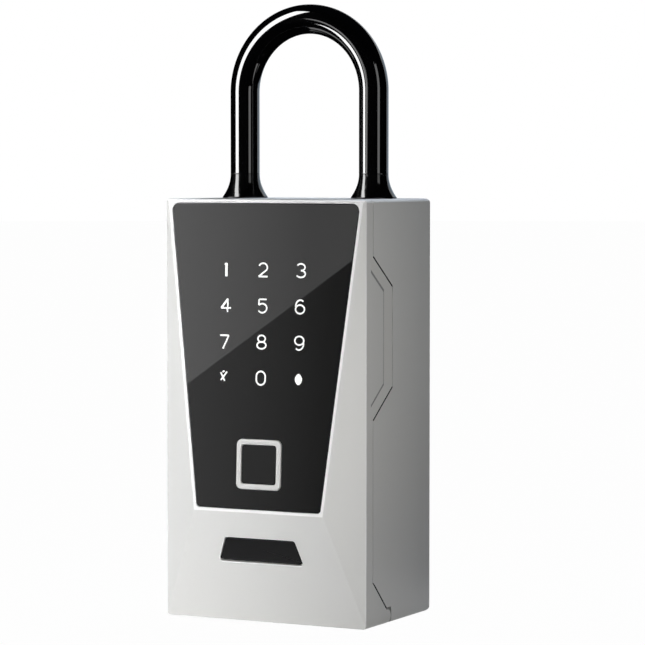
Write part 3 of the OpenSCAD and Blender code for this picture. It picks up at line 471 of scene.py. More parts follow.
def round_arris(bm, first, second, reach, material=0):
    """Rounds the outer edge between two planes, by cutting it off with flats that touch the
    round. reach is the distance from the edge to the start of the round."""
    (n1, d1), (n2, d2) = first, second
    cos = n1.dot(n2)
    edge = (n1 * (d1 - d2 * cos) + n2 * (d2 - d1 * cos)) / (1 - cos * cos)
    radius = reach / math.tan(n1.angle(n2) / 2)
    middle = edge - (n1 + n2) * radius / (1 + cos)
    for step in range(ARRIS_STEPS):
        out = n1.slerp(n2, (step + 0.5) / ARRIS_STEPS)
        bmesh.ops.bisect_plane(bm, geom=bm.verts[:] + bm.edges[:] + bm.faces[:], dist=CUT,
                               plane_co=middle + out * radius, plane_no=out, clear_outer=True)
        rim = [e for e in bm.edges if e.is_boundary]
        for face in bmesh.ops.holes_fill(bm, edges=rim)["faces"]:
            face.material_index = material


def halve(bm, plane):
    """Joins the triangles of a flat face into a left and a right half, so that each opening
    in it has a clean edge. Returns the edges of the openings and of the outline."""
    def joined(faces):
        edges = once(e for f in faces for e in f.edges if not e.seam)
        return [e for e in edges if len(e.link_faces) == 2 and e.calc_face_angle() < FLAT
                and len({f.material_index for f in e.link_faces}) == 1]

    def rim():
        return [e for f in on_plane(bm, plane) for e in f.edges
                if not e.seam and e.is_convex and e.calc_face_angle() > CREASE]

    cut = bmesh.ops.bisect_plane(bm, geom=region(on_plane(bm, plane)), dist=CUT,
                                 plane_co=(0, 0, 0), plane_no=(1, 0, 0))["geom_cut"]
    for item in cut:
        if isinstance(item, bmesh.types.BMEdge):
            item.seam = True
    bmesh.ops.dissolve_limit(bm, angle_limit=FLAT, verts=[], delimit={"SEAM"},
                             edges=joined(on_plane(bm, plane)))
    walls = once(f for e in rim() for f in e.link_faces)
    bmesh.ops.dissolve_limit(bm, angle_limit=FLAT, verts=[], delimit={"SEAM"}, edges=joined(walls))
    return rim()


def soften(bm, edges, width, material=-1):
    """Rounds edges, in a finish of their own if one is given."""
    bmesh.ops.bevel(bm, geom=edges, offset=width, offset_type="OFFSET", segments=3, profile=0.5,
                    affect="EDGES", clamp_overlap=False, material=material)


def tighten(bm, edges, keep):
    """Shrinks the round corners of a four-sided outline in the glass's plane, and the walls
    below them, about the points where its sides meet. keep is the share that is left."""
    to_part = glass_frame()
    to_face = to_part.inverted()
    lines = [[(to_face @ v.co) * FLATTEN for v in e.verts] for e in edges
             if e.calc_length() > GLASS_SIDE]
    ends = [end for line in lines for end in line]
    for level in (min, max):
        for flank in (min, max):
            corner, _ = intersect_line_line(*level(lines, key=lambda line: line[0].y + line[1].y),
                                            *flank(lines, key=lambda line: line[0].x + line[1].x))
            near = sorted(ends, key=lambda end: (end - corner).length)[:2]
            one, two = ((end - corner).normalized() for end in near)
            reach = (near[0] - corner).length + WELD
            for v in bm.verts:
                spot = to_face @ v.co
                away = spot * FLATTEN - corner
                if (away.length < reach and GLASS_BACK < spot.z < GLASS_FRONT
                        and one.cross(away).z * one.cross(two).z > -WELD * WELD
                        and away.cross(two).z * one.cross(two).z > -WELD * WELD):
                    v.co = to_part @ (corner + away * keep + Vector((0, 0, spot.z)))


def paint_seam_shade(bm, material, past=0.0):
    """Gives a material, painted shade, to the slanted and level walls of the seam between body and
    door, and to the sides up to a distance past the walls' edges."""
    def walls():
        return [f for f in bm.faces
                if abs(f.normal.x) < ACROSS and abs(f.normal.z) > SLANT
                and SEAM_LOW < f.calc_center_median().z < SEAM_HIGH
                and max(abs(v.co.x) for v in f.verts) > SEAM_SIDE]

    def rims():
        return [(wall.normal.copy(), edge, side) for wall in walls() for edge in wall.edges
                for side in edge.link_faces if abs(side.normal.x) > SIDEWAYS]

    for wall in walls():
        wall.material_index = material
    for out, spot in [(out, edge.verts[0].co.copy()) for out, edge, _ in rims() if past]:
        bmesh.ops.bisect_plane(bm, geom=region(once(side for _, _, side in rims())), dist=CUT,
                               plane_co=spot - out * past, plane_no=out)
    for out, edge, side in rims():
        if all((edge.verts[0].co - v.co).dot(out) < past + WELD for v in side.verts):
            side.material_index = material


def front_dressed(node, name, material, toward, width, edge=None):
    """A copy of a node in a new finish, with the edges of its front face rounded. edge is
    their own finish, if they have one."""
    bm = welded(node)
    soften(bm, halve(bm, outer_plane(bm, toward)), width, material=1 if edge else -1)
    return place(bm, name, body_of(node), [material, edge] if edge else [material], [node])


def glass_frame():
    """Matrix from the glass face to the part: X across, Y up the glass, Z out of it, and the
    base of the part at Y = 0."""
    bm = welded("glass_panel")
    face = min(bm.faces, key=lambda f: f.normal.y * f.calc_area())
    out, on_face = face.normal.copy(), face.calc_center_median()
    bm.free()
    across = Vector((1, 0, 0))
    up = out.cross(across)
    foot = on_face - up * (on_face.z / up.z)
    foot.x = 0
    return Matrix((
        (across.x, up.x, out.x, foot.x),
        (across.y, up.y, out.y, foot.y),
        (across.z, up.z, out.z, foot.z),
        (0, 0, 0, 1)))


# Operators

class LOCKBOX_OT_door(bpy.types.Operator):
    """Faceted front of the door, with its ridges and openings softened"""

    bl_idname = "lockbox.door"
    bl_label = "Door shell"

    def execute(self, context):
        size = sizes()
        bm = welded("door_shell")
        glass = outer_plane(bm, GLASS_OUT)
        lower = outer_plane(bm, LOWER_OUT)
        base = outer_plane(bm, (0, 0, -1))
        # Material 1 is a painted highlight on the corner rounds, the port and glass rims, the
        # glass's border and the top round
        for side in (-1, 1):
            facet = outer_plane(bm, (FACET_OUT[0] * side, *FACET_OUT[1:]))
            wall = outer_plane(bm, (side, 0, 0))
            round_arris(bm, glass, facet, size.ridge_edge)
            round_arris(bm, lower, facet, size.ridge_edge)
            round_arris(bm, facet, wall, size.corner_edge, material=1)
        round_arris(bm, glass, lower, size.ridge_edge)
        round_arris(bm, lower, base, size.corner_edge)
        soften(bm, halve(bm, lower), size.port_rim, material=1)
        rim = halve(bm, glass)
        tighten(bm, rim, size.glass_corner)
        soften(bm, rim, size.glass_rim, material=1)
        for face in on_plane(bm, glass):
            face.material_index = 1
        for face in bm.faces:
            out, high = face.normal, face.calc_center_median().z
            if (abs(out.x) < ACROSS and out.y < TOP_FORWARD and out.z > TOP_UP
                    and high > SEAM_HIGH):
                face.material_index = 1
            # Material 2 is painted shade on the steep inner slope of the grips
            elif (face.material_index == 0 and GRIP_FALL[0] < abs(out.x) < GRIP_FALL[1]
                  and GRIP_LOW < high < GRIP_HIGH):
                face.material_index = 2
        # Material 3 is painted shade on the seam's slanted walls
        paint_seam_shade(bm, 3)
        bmesh.ops.dissolve_degenerate(bm, dist=SLIVER, edges=bm.edges)
        place(bm, "door_front", "door",
              [satin_paint(), edge_paint(), grip_paint(), black_primer()], ["door_shell"],
              SHELL_CREASE)
        return {"FINISHED"}


class LOCKBOX_OT_body(bpy.types.Operator):
    """Cast body"""

    bl_idname = "lockbox.body"
    bl_label = "Body shell"

    def execute(self, context):
        bm = welded("body_shell")
        # Painted shade on the seam's walls and on a strip of the sides beside them
        paint_seam_shade(bm, 1, sizes().seam_edge)
        place(bm, "cast_body", "body", [satin_paint(), black_primer()],
              ["body_shell"], SHELL_CREASE)
        return {"FINISHED"}


class LOCKBOX_OT_shackle(bpy.types.Operator):
    """Glossy sleeve and flared boots of the shackle, and its steel bar"""

    bl_idname = "lockbox.shackle"
    bl_label = "Shackle"

    def execute(self, context):
        low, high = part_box("shackle_sleeve")
        radius = (high.y - low.y) / 2
        leg = high.x - radius
        middle = (low.y + high.y) / 2
        arch = high.z - radius - leg
        bm = bmesh.new()
        ring = bmesh.ops.create_circle(
            bm, segments=SLEEVE_STEPS, radius=radius, cap_ends=False,
            matrix=Matrix.Translation((leg, middle, low.z)))["verts"]
        edges = once(e for v in ring for e in v.link_edges)

        def rise(edges, step):
            made = bmesh.ops.extrude_edge_only(bm, edges=edges)["geom"]
            bmesh.ops.translate(bm, verts=[g for g in made if isinstance(g, bmesh.types.BMVert)],
                                vec=(0, 0, step))
            return [g for g in made if isinstance(g, bmesh.types.BMEdge)
                    and abs(g.verts[0].co.z - g.verts[1].co.z) < WELD]

        lip, end_round, end_turn = 0.25 * MM, 0.05 * MM, 1.2
        edges = rise(edges, lip)
        edges = rise(edges, arch - low.z - lip)
        spun = bmesh.ops.spin(bm, geom=edges, cent=(0, middle, arch), axis=(0, -1, 0),
                              angle=math.pi, steps=ARCH_STEPS, use_duplicate=False)["geom_last"]
        edges = [g for g in spun if isinstance(g, bmesh.types.BMEdge)]
        edges = rise(edges, low.z + lip - arch)
        rise(edges, -lip)
        bmesh.ops.remove_doubles(bm, verts=bm.verts, dist=WELD)
        bmesh.ops.holes_fill(bm, edges=[e for e in bm.edges if e.is_boundary])
        bmesh.ops.recalc_face_normals(bm, faces=bm.faces)
        ends = [e for e in bm.edges if e.calc_face_angle(0) > end_turn]
        bmesh.ops.bevel(bm, geom=ends, offset=end_round, offset_type="OFFSET", segments=2,
                        profile=0.5, affect="EDGES", material=-1)
        place(bm, "vinyl_sleeve", "shackle", [glossy_vinyl()], ["shackle_sleeve"])

        low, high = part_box("shackle_boots")
        foot = (high.y - low.y) / 2
        bore, tall = radius - 0.9 * MM, high.z - low.z
        skirt, chamfer, groove, steps = 0.3 * MM, 0.1 * MM, 0.03 * MM, 14
        bm = bmesh.new()
        profile = [(bore, 0), (foot - chamfer, 0), (foot, chamfer)]
        profile += [(radius + (foot - radius) * (1 - k / steps) ** 2,
                     skirt + (tall - skirt) * k / steps) for k in range(steps)]
        profile += [(radius, tall - groove), (radius - groove, tall), (bore, tall)]
        line = [bm.verts.new((leg + r, middle, low.z + z)) for r, z in profile]
        edges = [bm.edges.new(pair) for pair in zip(line, line[1:] + line[:1])]
        bmesh.ops.spin(bm, geom=line + edges, cent=(leg, middle, 0), axis=(0, 0, 1),
                       angle=math.tau, steps=SLEEVE_STEPS, use_merge=True)
        bmesh.ops.remove_doubles(bm, verts=bm.verts, dist=WELD)
        bmesh.ops.mirror(bm, geom=bm.verts[:] + bm.edges[:] + bm.faces[:], axis="X", merge_dist=0.0)
        bmesh.ops.recalc_face_normals(bm, faces=bm.faces)
        place(bm, "flared_boots", "shackle", [boot_plastic()], ["shackle_boots"])

        dressed("shackle_bar", "steel_bar", "shackle_steel", drawn_steel())
        return {"FINISHED"}


# Centre lines of the digits about the middle of a key: points, or arcs as
# (centre x, centre y, radius x, radius y, from degrees, to degrees)
STROKE_HEIGHT = 4                # height of a digit in these lines
STROKES = {
    "1": [[(0.02, 1.85), (0.02, -2.15)], [(0.34, 1.85), (0.34, -2.15)],
          [(-0.42, 1.4), (0.2, 1.85)]],
    "2": [[(0, 0.72, 1.42, 1.28, 158, -38), (-1.5, -2.0), (1.55, -2.0)]],
    "3": [[(0.02, 0.98, 1.36, 1.02, 150, -90)], [(0.02, -1.0, 1.5, 1.04, 90, -152)]],
    "4": [[(0.88, -2.05), (0.88, 1.95), (-1.4, -0.85), (2.05, -0.85)],
          [(0.72, 1.5), (-1.05, -0.7)]],
    "5": [[(1.38, 2.0), (-1.12, 2.0), (-1.22, 0.3), (0.0, -0.66, 1.5, 1.36, 128, -148)]],
    "6": [[(0.1, 0.0, 1.6, 2.02, 52, 180)], [(0.0, -0.74, 1.5, 1.28, 180, -180)]],
    "7": [[(-1.5, 1.72), (1.5, 1.72), (-0.45, -2.3)]],
    "8": [[(0, 1.0, 1.24, 1.0, 270, -90)], [(0, -0.98, 1.5, 1.04, 90, -270)]],
    "9": [[(-0.1, 0.0, 1.6, 2.02, 232, 360)], [(0.0, 0.74, 1.5, 1.28, 0, 360)]],
    "0": [[(0, 0.52, 1.5, 1.5, 0, 180), (0, -0.52, 1.5, 1.5, 180, 360), (1.5, 0.52)]],
    "*": [[(1.2, 1.6), (-0.95, -1.05)], [(-1.0, 1.3), (0.45, -1.25)],
          [(-0.35, 1.45), (0.25, 1.8)]],
}
KEYS = ["123", "456", "789", "*0."]    # the dot stands for a drop
DROP_R = 1.16 * MM               # half the drop's width
DROP_TALL, DROP_POINT = 1.1, 0.26    # its height as a share of that, and what its points add
ARC_STEP = 9                     # degrees between the points of an arc


class LOCKBOX_OT_keypad(bpy.types.Operator):
    """Keypad glass with its softened edge, and the printed digits on it"""

    bl_idname = "lockbox.keypad"
    bl_label = "Keypad"

    def stroke_mesh(self, strokes, width, scale):
        """Round strokes along centre lines, as one mesh about the origin. A stroke is cut where
        it turns sharply, as its width would shrink there."""
        curve = bpy.data.curves.new("stroke", "CURVE")
        curve.dimensions = "3D"
        curve.bevel_depth = width / 2
        curve.bevel_resolution = 3
        curve.use_fill_caps = True
        for stroke in strokes:
            points = []
            for part in stroke:
                if len(part) == 2:
                    points.append(part)
                    continue
                x, y, rx, ry, start, end = part
                steps = max(4, round(abs(end - start) / ARC_STEP))
                for k in range(steps + 1):
                    angle = math.radians(start + (end - start) * k / steps)
                    points.append((x + rx * math.cos(angle), y + ry * math.sin(angle)))
            closed = math.dist(points[0], points[-1]) < 0.01
            points = points[:-1] if closed else points
            runs = [[points[0]]]
            for before, here, after in zip(points, points[1:], points[2:] + [None]):
                runs[-1].append(here)
                turn = after and (Vector(here) - Vector(before)).angle(Vector(after) - Vector(here))
                if after and turn > CREASE:
                    runs.append([here])
            for run in runs:
                spline = curve.splines.new("POLY")
                spline.use_cyclic_u = closed
                spline.points.add(len(run) - 1)
                for point, (x, y) in zip(spline.points, run):
                    point.co = (x * scale, y * scale, 0, 1)
        holder = bpy.data.objects.new("stroke", curve)
        bpy.context.scene.collection.objects.link(holder)
        mesh = bpy.data.meshes.new_from_object(
            holder.evaluated_get(bpy.context.evaluated_depsgraph_get()))
        bpy.data.objects.remove(holder)
        bpy.data.curves.remove(curve)
        return mesh

    def execute(self, context):
        size = sizes()
        bm = welded("glass_panel")
        rim = halve(bm, outer_plane(bm, GLASS_OUT))
        tighten(bm, rim, size.glass_corner)
        soften(bm, rim, size.glass_edge)
        place(bm, "keypad_glass_panel", "door", [keypad_glass()], ["glass_panel"])
        to_part = glass_frame()
        up_scale = to_part.to_3x3().col[1].z
        flatten = Matrix.Diagonal((1, 1, size.print_build / size.key_stroke, 1))
        bm = bmesh.new()
        for row, keys in enumerate(KEYS):
            for column, key in enumerate(keys):
                x = (column - 1) * size.key_pitch
                y = (size.first_row - row * size.row_pitch) / up_scale
                spot = to_part @ Matrix.Translation((x, y, size.print_build / 2)) @ flatten
                if key == ".":
                    # Solid drop with a pointed top and foot
                    made = bmesh.ops.create_uvsphere(
                        bm, u_segments=24, v_segments=10, radius=DROP_R)["verts"]
                    for v in made:
                        v.co.z *= size.key_stroke / 2 / DROP_R
                        v.co.y *= DROP_TALL + DROP_POINT * (abs(v.co.y) / DROP_R) ** 4
                    bmesh.ops.transform(bm, matrix=spot, verts=made)
                    continue
                mesh = self.stroke_mesh(STROKES[key], size.key_stroke,
                                        size.key_height / STROKE_HEIGHT)
                mesh.transform(spot)
                bm.from_mesh(mesh)
                bpy.data.meshes.remove(mesh)
        bmesh.ops.recalc_face_normals(bm, faces=bm.faces)
        place(bm, "keypad_print", "door", [key_ink()])
        return {"FINISHED"}


class LOCKBOX_OT_reader(bpy.types.Operator):
    """Fingerprint reader: silver frame and matt sensor"""

    bl_idname = "lockbox.reader"
    bl_label = "Fingerprint reader"

    def execute(self, context):
        size = sizes()
        front_dressed("fingerprint_bezel", "reader_frame", silver_lacquer(),
                      GLASS_OUT, size.frame_edge)
        # The sensor's rounded edge is painted shade: a black outline
        front_dressed("fingerprint_sensor", "reader_sensor", reader_coating(),
                      GLASS_OUT, size.sensor_edge, black_primer())
        return {"FINISHED"}


class LOCKBOX_OT_port(bpy.types.Operator):
    """Cover of the power socket, its pin, the socket and its board"""

    bl_idname = "lockbox.port"
    bl_label = "Power port"

    def execute(self, context):
        # The cover's rounded edge is painted shade: a black outline
        front_dressed("port_cover", "port_flap", cover_plastic(), LOWER_OUT,
                      sizes().cover_edge, black_primer())
        dressed("port_cover_pin", "port_pin", "plated_steel", blackened_steel())
        dressed("usb_socket", "power_socket", "plated_steel", plated_steel())
        dressed("usb_board", "socket_board", "circuit_board", solder_mask())
        return {"FINISHED"}


def islands(bm):
    """Lowest and highest corners of the separate bodies of a mesh, from left to right."""
    left, boxes = set(bm.verts), []
    while left:
        todo, found = [left.pop()], []
        while todo:
            vert = todo.pop()
            found.append(vert.co.copy())
            for edge in vert.link_edges:
                other = edge.other_vert(vert)
                if other in left:
                    left.remove(other)
                    todo.append(other)
        boxes.append((Vector(map(min, *found)), Vector(map(max, *found))))
    return sorted(boxes, key=lambda b: (round(b[0].x, 5), round(b[0].z, 5)))


class LOCKBOX_OT_screws(bpy.types.Operator):
    """Pan-head screws with a cross recess, in every screwed plate"""

    bl_idname = "lockbox.screws"
    bl_label = "Screws"

    # Each screw stops at a turn of its own
    first_turn, next_turn = math.radians(17), math.radians(31)

    def one_screw(self, bm, matrix, depth):
        """A screw along -Z with the top of its head at the origin."""
        head_r, head_h, shank_r = 1.7 * MM, 1.2 * MM, 1.0 * MM
        arm, reach, recess = 0.22 * MM, 0.95 * MM, 0.55 * MM
        part = bmesh.new()
        outline = [(0, -depth), (shank_r - 0.25 * MM, -depth), (shank_r, -depth + 0.4 * MM),
                   (shank_r, -head_h), (head_r, -head_h), (head_r, -0.6 * MM),
                   (0.92 * head_r, -0.28 * MM), (0.72 * head_r, -0.06 * MM), (0.62 * head_r, 0)]
        line = [part.verts.new((r, 0, z)) for r, z in outline]
        edges = [part.edges.new(pair) for pair in zip(line, line[1:])]
        bmesh.ops.spin(part, geom=line + edges, cent=(0, 0, 0), axis=(0, 0, 1), angle=math.tau,
                       steps=SCREW_STEPS, use_merge=True)
        bmesh.ops.remove_doubles(part, verts=part.verts, dist=WELD)
        bmesh.ops.holes_fill(part, edges=[e for e in part.edges if e.is_boundary])

        def top():
            return [f for f in part.faces if f.calc_center_median().z > -WELD]

        for normal in ((1, 0, 0), (0, 1, 0)):
            for at in (-reach, -arm, arm, reach):
                bmesh.ops.bisect_plane(part, geom=region(top()), dist=SLIVER,
                                       plane_co=Vector(normal) * at, plane_no=normal)
        cross = []
        for face in top():
            near, far = sorted(map(abs, face.calc_center_median().xy))
            if near < arm and far < reach:
                cross.append(face)
        made = bmesh.ops.extrude_face_region(part, geom=cross)["geom"]
        bmesh.ops.delete(part, geom=cross, context="FACES_ONLY")
        sunk = [g for g in made if isinstance(g, bmesh.types.BMVert)]
        bmesh.ops.translate(part, verts=sunk, vec=(0, 0, -recess))
        bmesh.ops.recalc_face_normals(part, faces=part.faces)
        bmesh.ops.transform(part, matrix=matrix, verts=part.verts)
        join(bm, part)

    def execute(self, context):
        for node, head in (("lock_cover_screws", "-Z"), ("strike_screws", "-Z"),
                           ("key_hook_screws", "-Y"), ("liner_screws", "+Y")):
            copy = welded(node)
            boxes = islands(copy)
            copy.free()
            axis = "XYZ".index(head[1])
            sign = -1 if head[0] == "-" else 1
            out = Vector([sign * (i == axis) for i in range(3)])
            turn = out.to_track_quat("Z", "Y").to_matrix().to_4x4()
            bm = bmesh.new()
            for index, (low, high) in enumerate(boxes):
                top = (low + high) / 2
                top[axis] = high[axis] if sign > 0 else low[axis]
                spin = Matrix.Rotation(self.first_turn + self.next_turn * index, 4, "Z")
                self.one_screw(bm, Matrix.Translation(top) @ turn @ spin, high[axis] - low[axis])
            place(bm, node.replace("_screws", "_cross_screws"), body_of(node),
                  [plated_steel()], [node])
        return {"FINISHED"}


class LOCKBOX_OT_cells(bpy.types.Operator):
    """Four cells with their sleeves, and the spring contacts at their ends"""

    bl_idname = "lockbox.cells"
    bl_label = "Cells"

    def execute(self, context):
        copy = welded("battery_cells")
        boxes = islands(copy)
        copy.free()
        bm = bmesh.new()
        for index, (low, high) in enumerate(boxes):
            radius, tall = (high.x - low.x) / 2, high.z - low.z
            nub_r, nub_h, lap = 1.8 * MM, 1.0 * MM, 0.35 * MM
            band = 0.72 * tall
            # From the flat end up to the nub: radius, height, and the finish below that height
            profile = [
                (0, 0, 0), (radius - 1.2 * MM, 0, 0), (radius - 0.9 * MM, 0.25 * MM, 0),
                (radius - 0.7 * MM, 0.1 * MM, 1), (radius - 0.3 * MM, 0.1 * MM, 1),
                (radius, lap, 1),
                (radius, band, 1), (radius, tall - nub_h - lap, 2),
                (radius - 0.3 * MM, tall - nub_h - 0.1 * MM, 2),
                (radius - 1.0 * MM, tall - nub_h - 0.1 * MM, 2),
                (radius - 1.2 * MM, tall - nub_h - 0.35 * MM, 0),
                (nub_r + 0.3 * MM, tall - nub_h, 0),
                (nub_r, tall - nub_h + 0.2 * MM, 0), (nub_r, tall - 0.25 * MM, 0),
                (nub_r - 0.25 * MM, tall, 0), (0, tall, 0)]
            part = bmesh.new()
            line = [part.verts.new((r, 0, z)) for r, z, _ in profile]
            for start, end in zip(range(len(line)), range(1, len(line))):
                edge = part.edges.new((line[start], line[end]))
                bmesh.ops.spin(part, geom=[line[start], line[end], edge], cent=(0, 0, 0),
                               axis=(0, 0, 1), angle=math.tau, steps=ROUND_STEPS, use_merge=True)
                for face in part.faces:
                    if not face.tag:
                        face.material_index = profile[end][2]
                        face.tag = True
            bmesh.ops.remove_doubles(part, verts=part.verts, dist=WELD)
            bmesh.ops.dissolve_degenerate(part, dist=WELD, edges=part.edges)
            bmesh.ops.recalc_face_normals(part, faces=part.faces)
            middle = (low + high) / 2
            flip = Matrix.Rotation(math.pi * (index % 2), 4, "X")
            spot = Matrix.Translation(middle) @ flip @ Matrix.Translation((0, 0, -tall / 2))
            bmesh.ops.transform(part, matrix=spot, verts=part.verts)
            join(bm, part)
        place(bm, "sleeved_cells", "door",
              [spring_nickel(), cell_sleeve(), cell_band()], ["battery_cells"])
        dressed("battery_contacts", "spring_contacts", "spring_contact", spring_nickel())
        return {"FINISHED"}


class LOCKBOX_OT_door_inside(bpy.types.Operator):
    """Liner, battery cover, seal and touch board of the door"""

    bl_idname = "lockbox.door_inside"
    bl_label = "Inside of the door"

    def execute(self, context):
        dressed("door_liner", "liner", "black_plastic", spark_abs())
        dressed("battery_cover", "battery_lid", "black_plastic", spark_abs())
        dressed("door_seal", "seal", "black_rubber", seal_rubber())
        dressed("touch_board", "touch_board_mask", "circuit_board", solder_mask())
        return {"FINISHED"}


class LOCKBOX_OT_latch(bpy.types.Operator):
    """Bolt, pinion and motor of the latch, and the strike that it catches"""

    bl_idname = "lockbox.latch"
    bl_label = "Latch"

    def execute(self, context):
        dressed("latch_bolt", "bolt", "plated_steel", plated_steel())
        dressed("latch_pinion", "pinion", "brass", rolled_brass())
        dressed("latch_motor", "gear_motor", "motor_steel", motor_can())
        dressed("strike_plate", "strike", "plated_steel", plated_steel())
        return {"FINISHED"}


class LOCKBOX_OT_inside(bpy.types.Operator):
    """Shackle lock, bushes, hinge pins and key hook of the body"""

    bl_idname = "lockbox.inside"
    bl_label = "Inside of the body"

    def execute(self, context):
        dressed("shackle_lock_slider", "lock_slider", "brass", rolled_brass())
        dressed("lock_cover", "lock_plate", "black_plastic", spark_abs())
        dressed("shackle_bushes", "bushes", "plated_steel", plated_steel())
        dressed("hinge_pins", "pins", "plated_steel", plated_steel())
        dressed("key_hook", "hook", "plated_steel", plated_steel())
        return {"FINISHED"}


# Camera, fitted to the outline of the case
CAMERA_SPOT = Vector((394.156, -749.093, 129.603)) * MM
CAMERA_AZIMUTH, CAMERA_ELEVATION = math.radians(27.232), math.radians(3.064)
CAMERA_LENS, CAMERA_SENSOR, CAMERA_NEAR = 164.16, 36.0, 0.01

# Lamps: name, azimuth in degrees, distance, height, point that it shines on, width, spread of
# the beam in degrees, colour
LAMPS = [
    ("key", -37, 0.55, 1.02, (0, 0, 0.07), 0.6, 180, "#ffffff"),
    ("front", -10, 0.35, 0.03, (-0.12, -0.02, 0), 0.08, 75, "#ffffff"),
    ("top", -30, 0.35, 0.12, (-0.03, -0.02, 0.115), 0.08, 30, "#ffffff"),
    ("fill", 60, 0.35, 0.08, (0.032, -0.08, 0.085), 0.08, 56, "#fffcf7"),
    ("rim", 180, 0.2, 0.55, (0, 0, 0.12), 0.08, 60, "#dfebff"),
]

FLOOR_RADIUS, FLOOR_STEPS = 6.0, 96
FLOOR_GLOW = 0.985               # share of white in the floor as it is seen, the rest is its shadow

# Dark flag whose slanted edge the glass mirrors from its right side down to its left, and the
# white card behind it. Both grow lighter towards the left: from and to X, strengths there.
FRONT_FLAG = [(-0.62, -0.6, -0.1126), (0.9, -0.6, -0.3), (0.9, -0.6, 0.96), (0.3, -0.6, 0.537)]
FRONT_FLAG_FADE = (-0.3666, -0.2736, 0.58, 0.0)
FRONT_CARD_FADE = (-0.3666, -0.29, 1.9, 0.95)

# Level black flags above, before, behind and on the case, which keep the shackle black between
# its streaks: name, from and to X, from and to Y, height
LEVEL_FLAGS = [
    ("flag_top", -1.0, 1.0, -0.55, 1.0, 0.7),
    ("flag_floor", -1.2, 1.2, -1.5, -0.06, 0.0004),
    ("flag_floor_back", -1.6, 1.6, 0.06, 2.6, 0.0004),
    ("flag_case_top", -0.031, 0.031, -0.018, 0.0225, 0.1204),
]

# Upright cards round the case: name, from and to azimuth in degrees, distance, from and to
# height, strength, colour. The back ones are a bluish wall, in the grazing reflections of the
# top, the back edges and the boots.
ROUND_CARDS = [
    ("flag_right", 74, 145, 0.9, -0.4, 0.9, 0.0, "#ffffff"),
    ("flag_left_front", -68, -110, 0.9, -0.4, 0.9, 0.0, "#ffffff"),
    ("flag_left_back", -110, -150, 0.9, -0.4, 0.9, 0.0, "#ffffff"),
    ("light_strip", -34, -66, 1.1, -0.1, 1.0, 6.0, "#ffffff"),
    ("card_back_right", 148, 180, 1.2, -0.2, 0.6, 1.0, "#c9d8e6"),
    ("flag_back", 198, 232, 1.2, -0.2, 0.6, 0.0, "#ffffff"),
    ("card_back_left", 180, 198, 1.2, -0.2, 0.6, 1.0, "#c9d8e6"),
]

# Light strip close to the shackle, with a flag on each side, for the streaks on its legs: name,
# from and to along the strip's width, strength
NEAR_SPOT, NEAR_ALONG = Vector((-0.069, -0.058, 0)), Vector((0.643, -0.766, 0))
NEAR_LOW, NEAR_HIGH = 0.125, 0.29
NEAR_CARDS = [
    ("flag_near_left", -0.09, -0.019, 0.0),
    ("strip_near", -0.019, 0.019, 9.0),
    ("flag_near_right", 0.019, 0.036, 0.0),
]


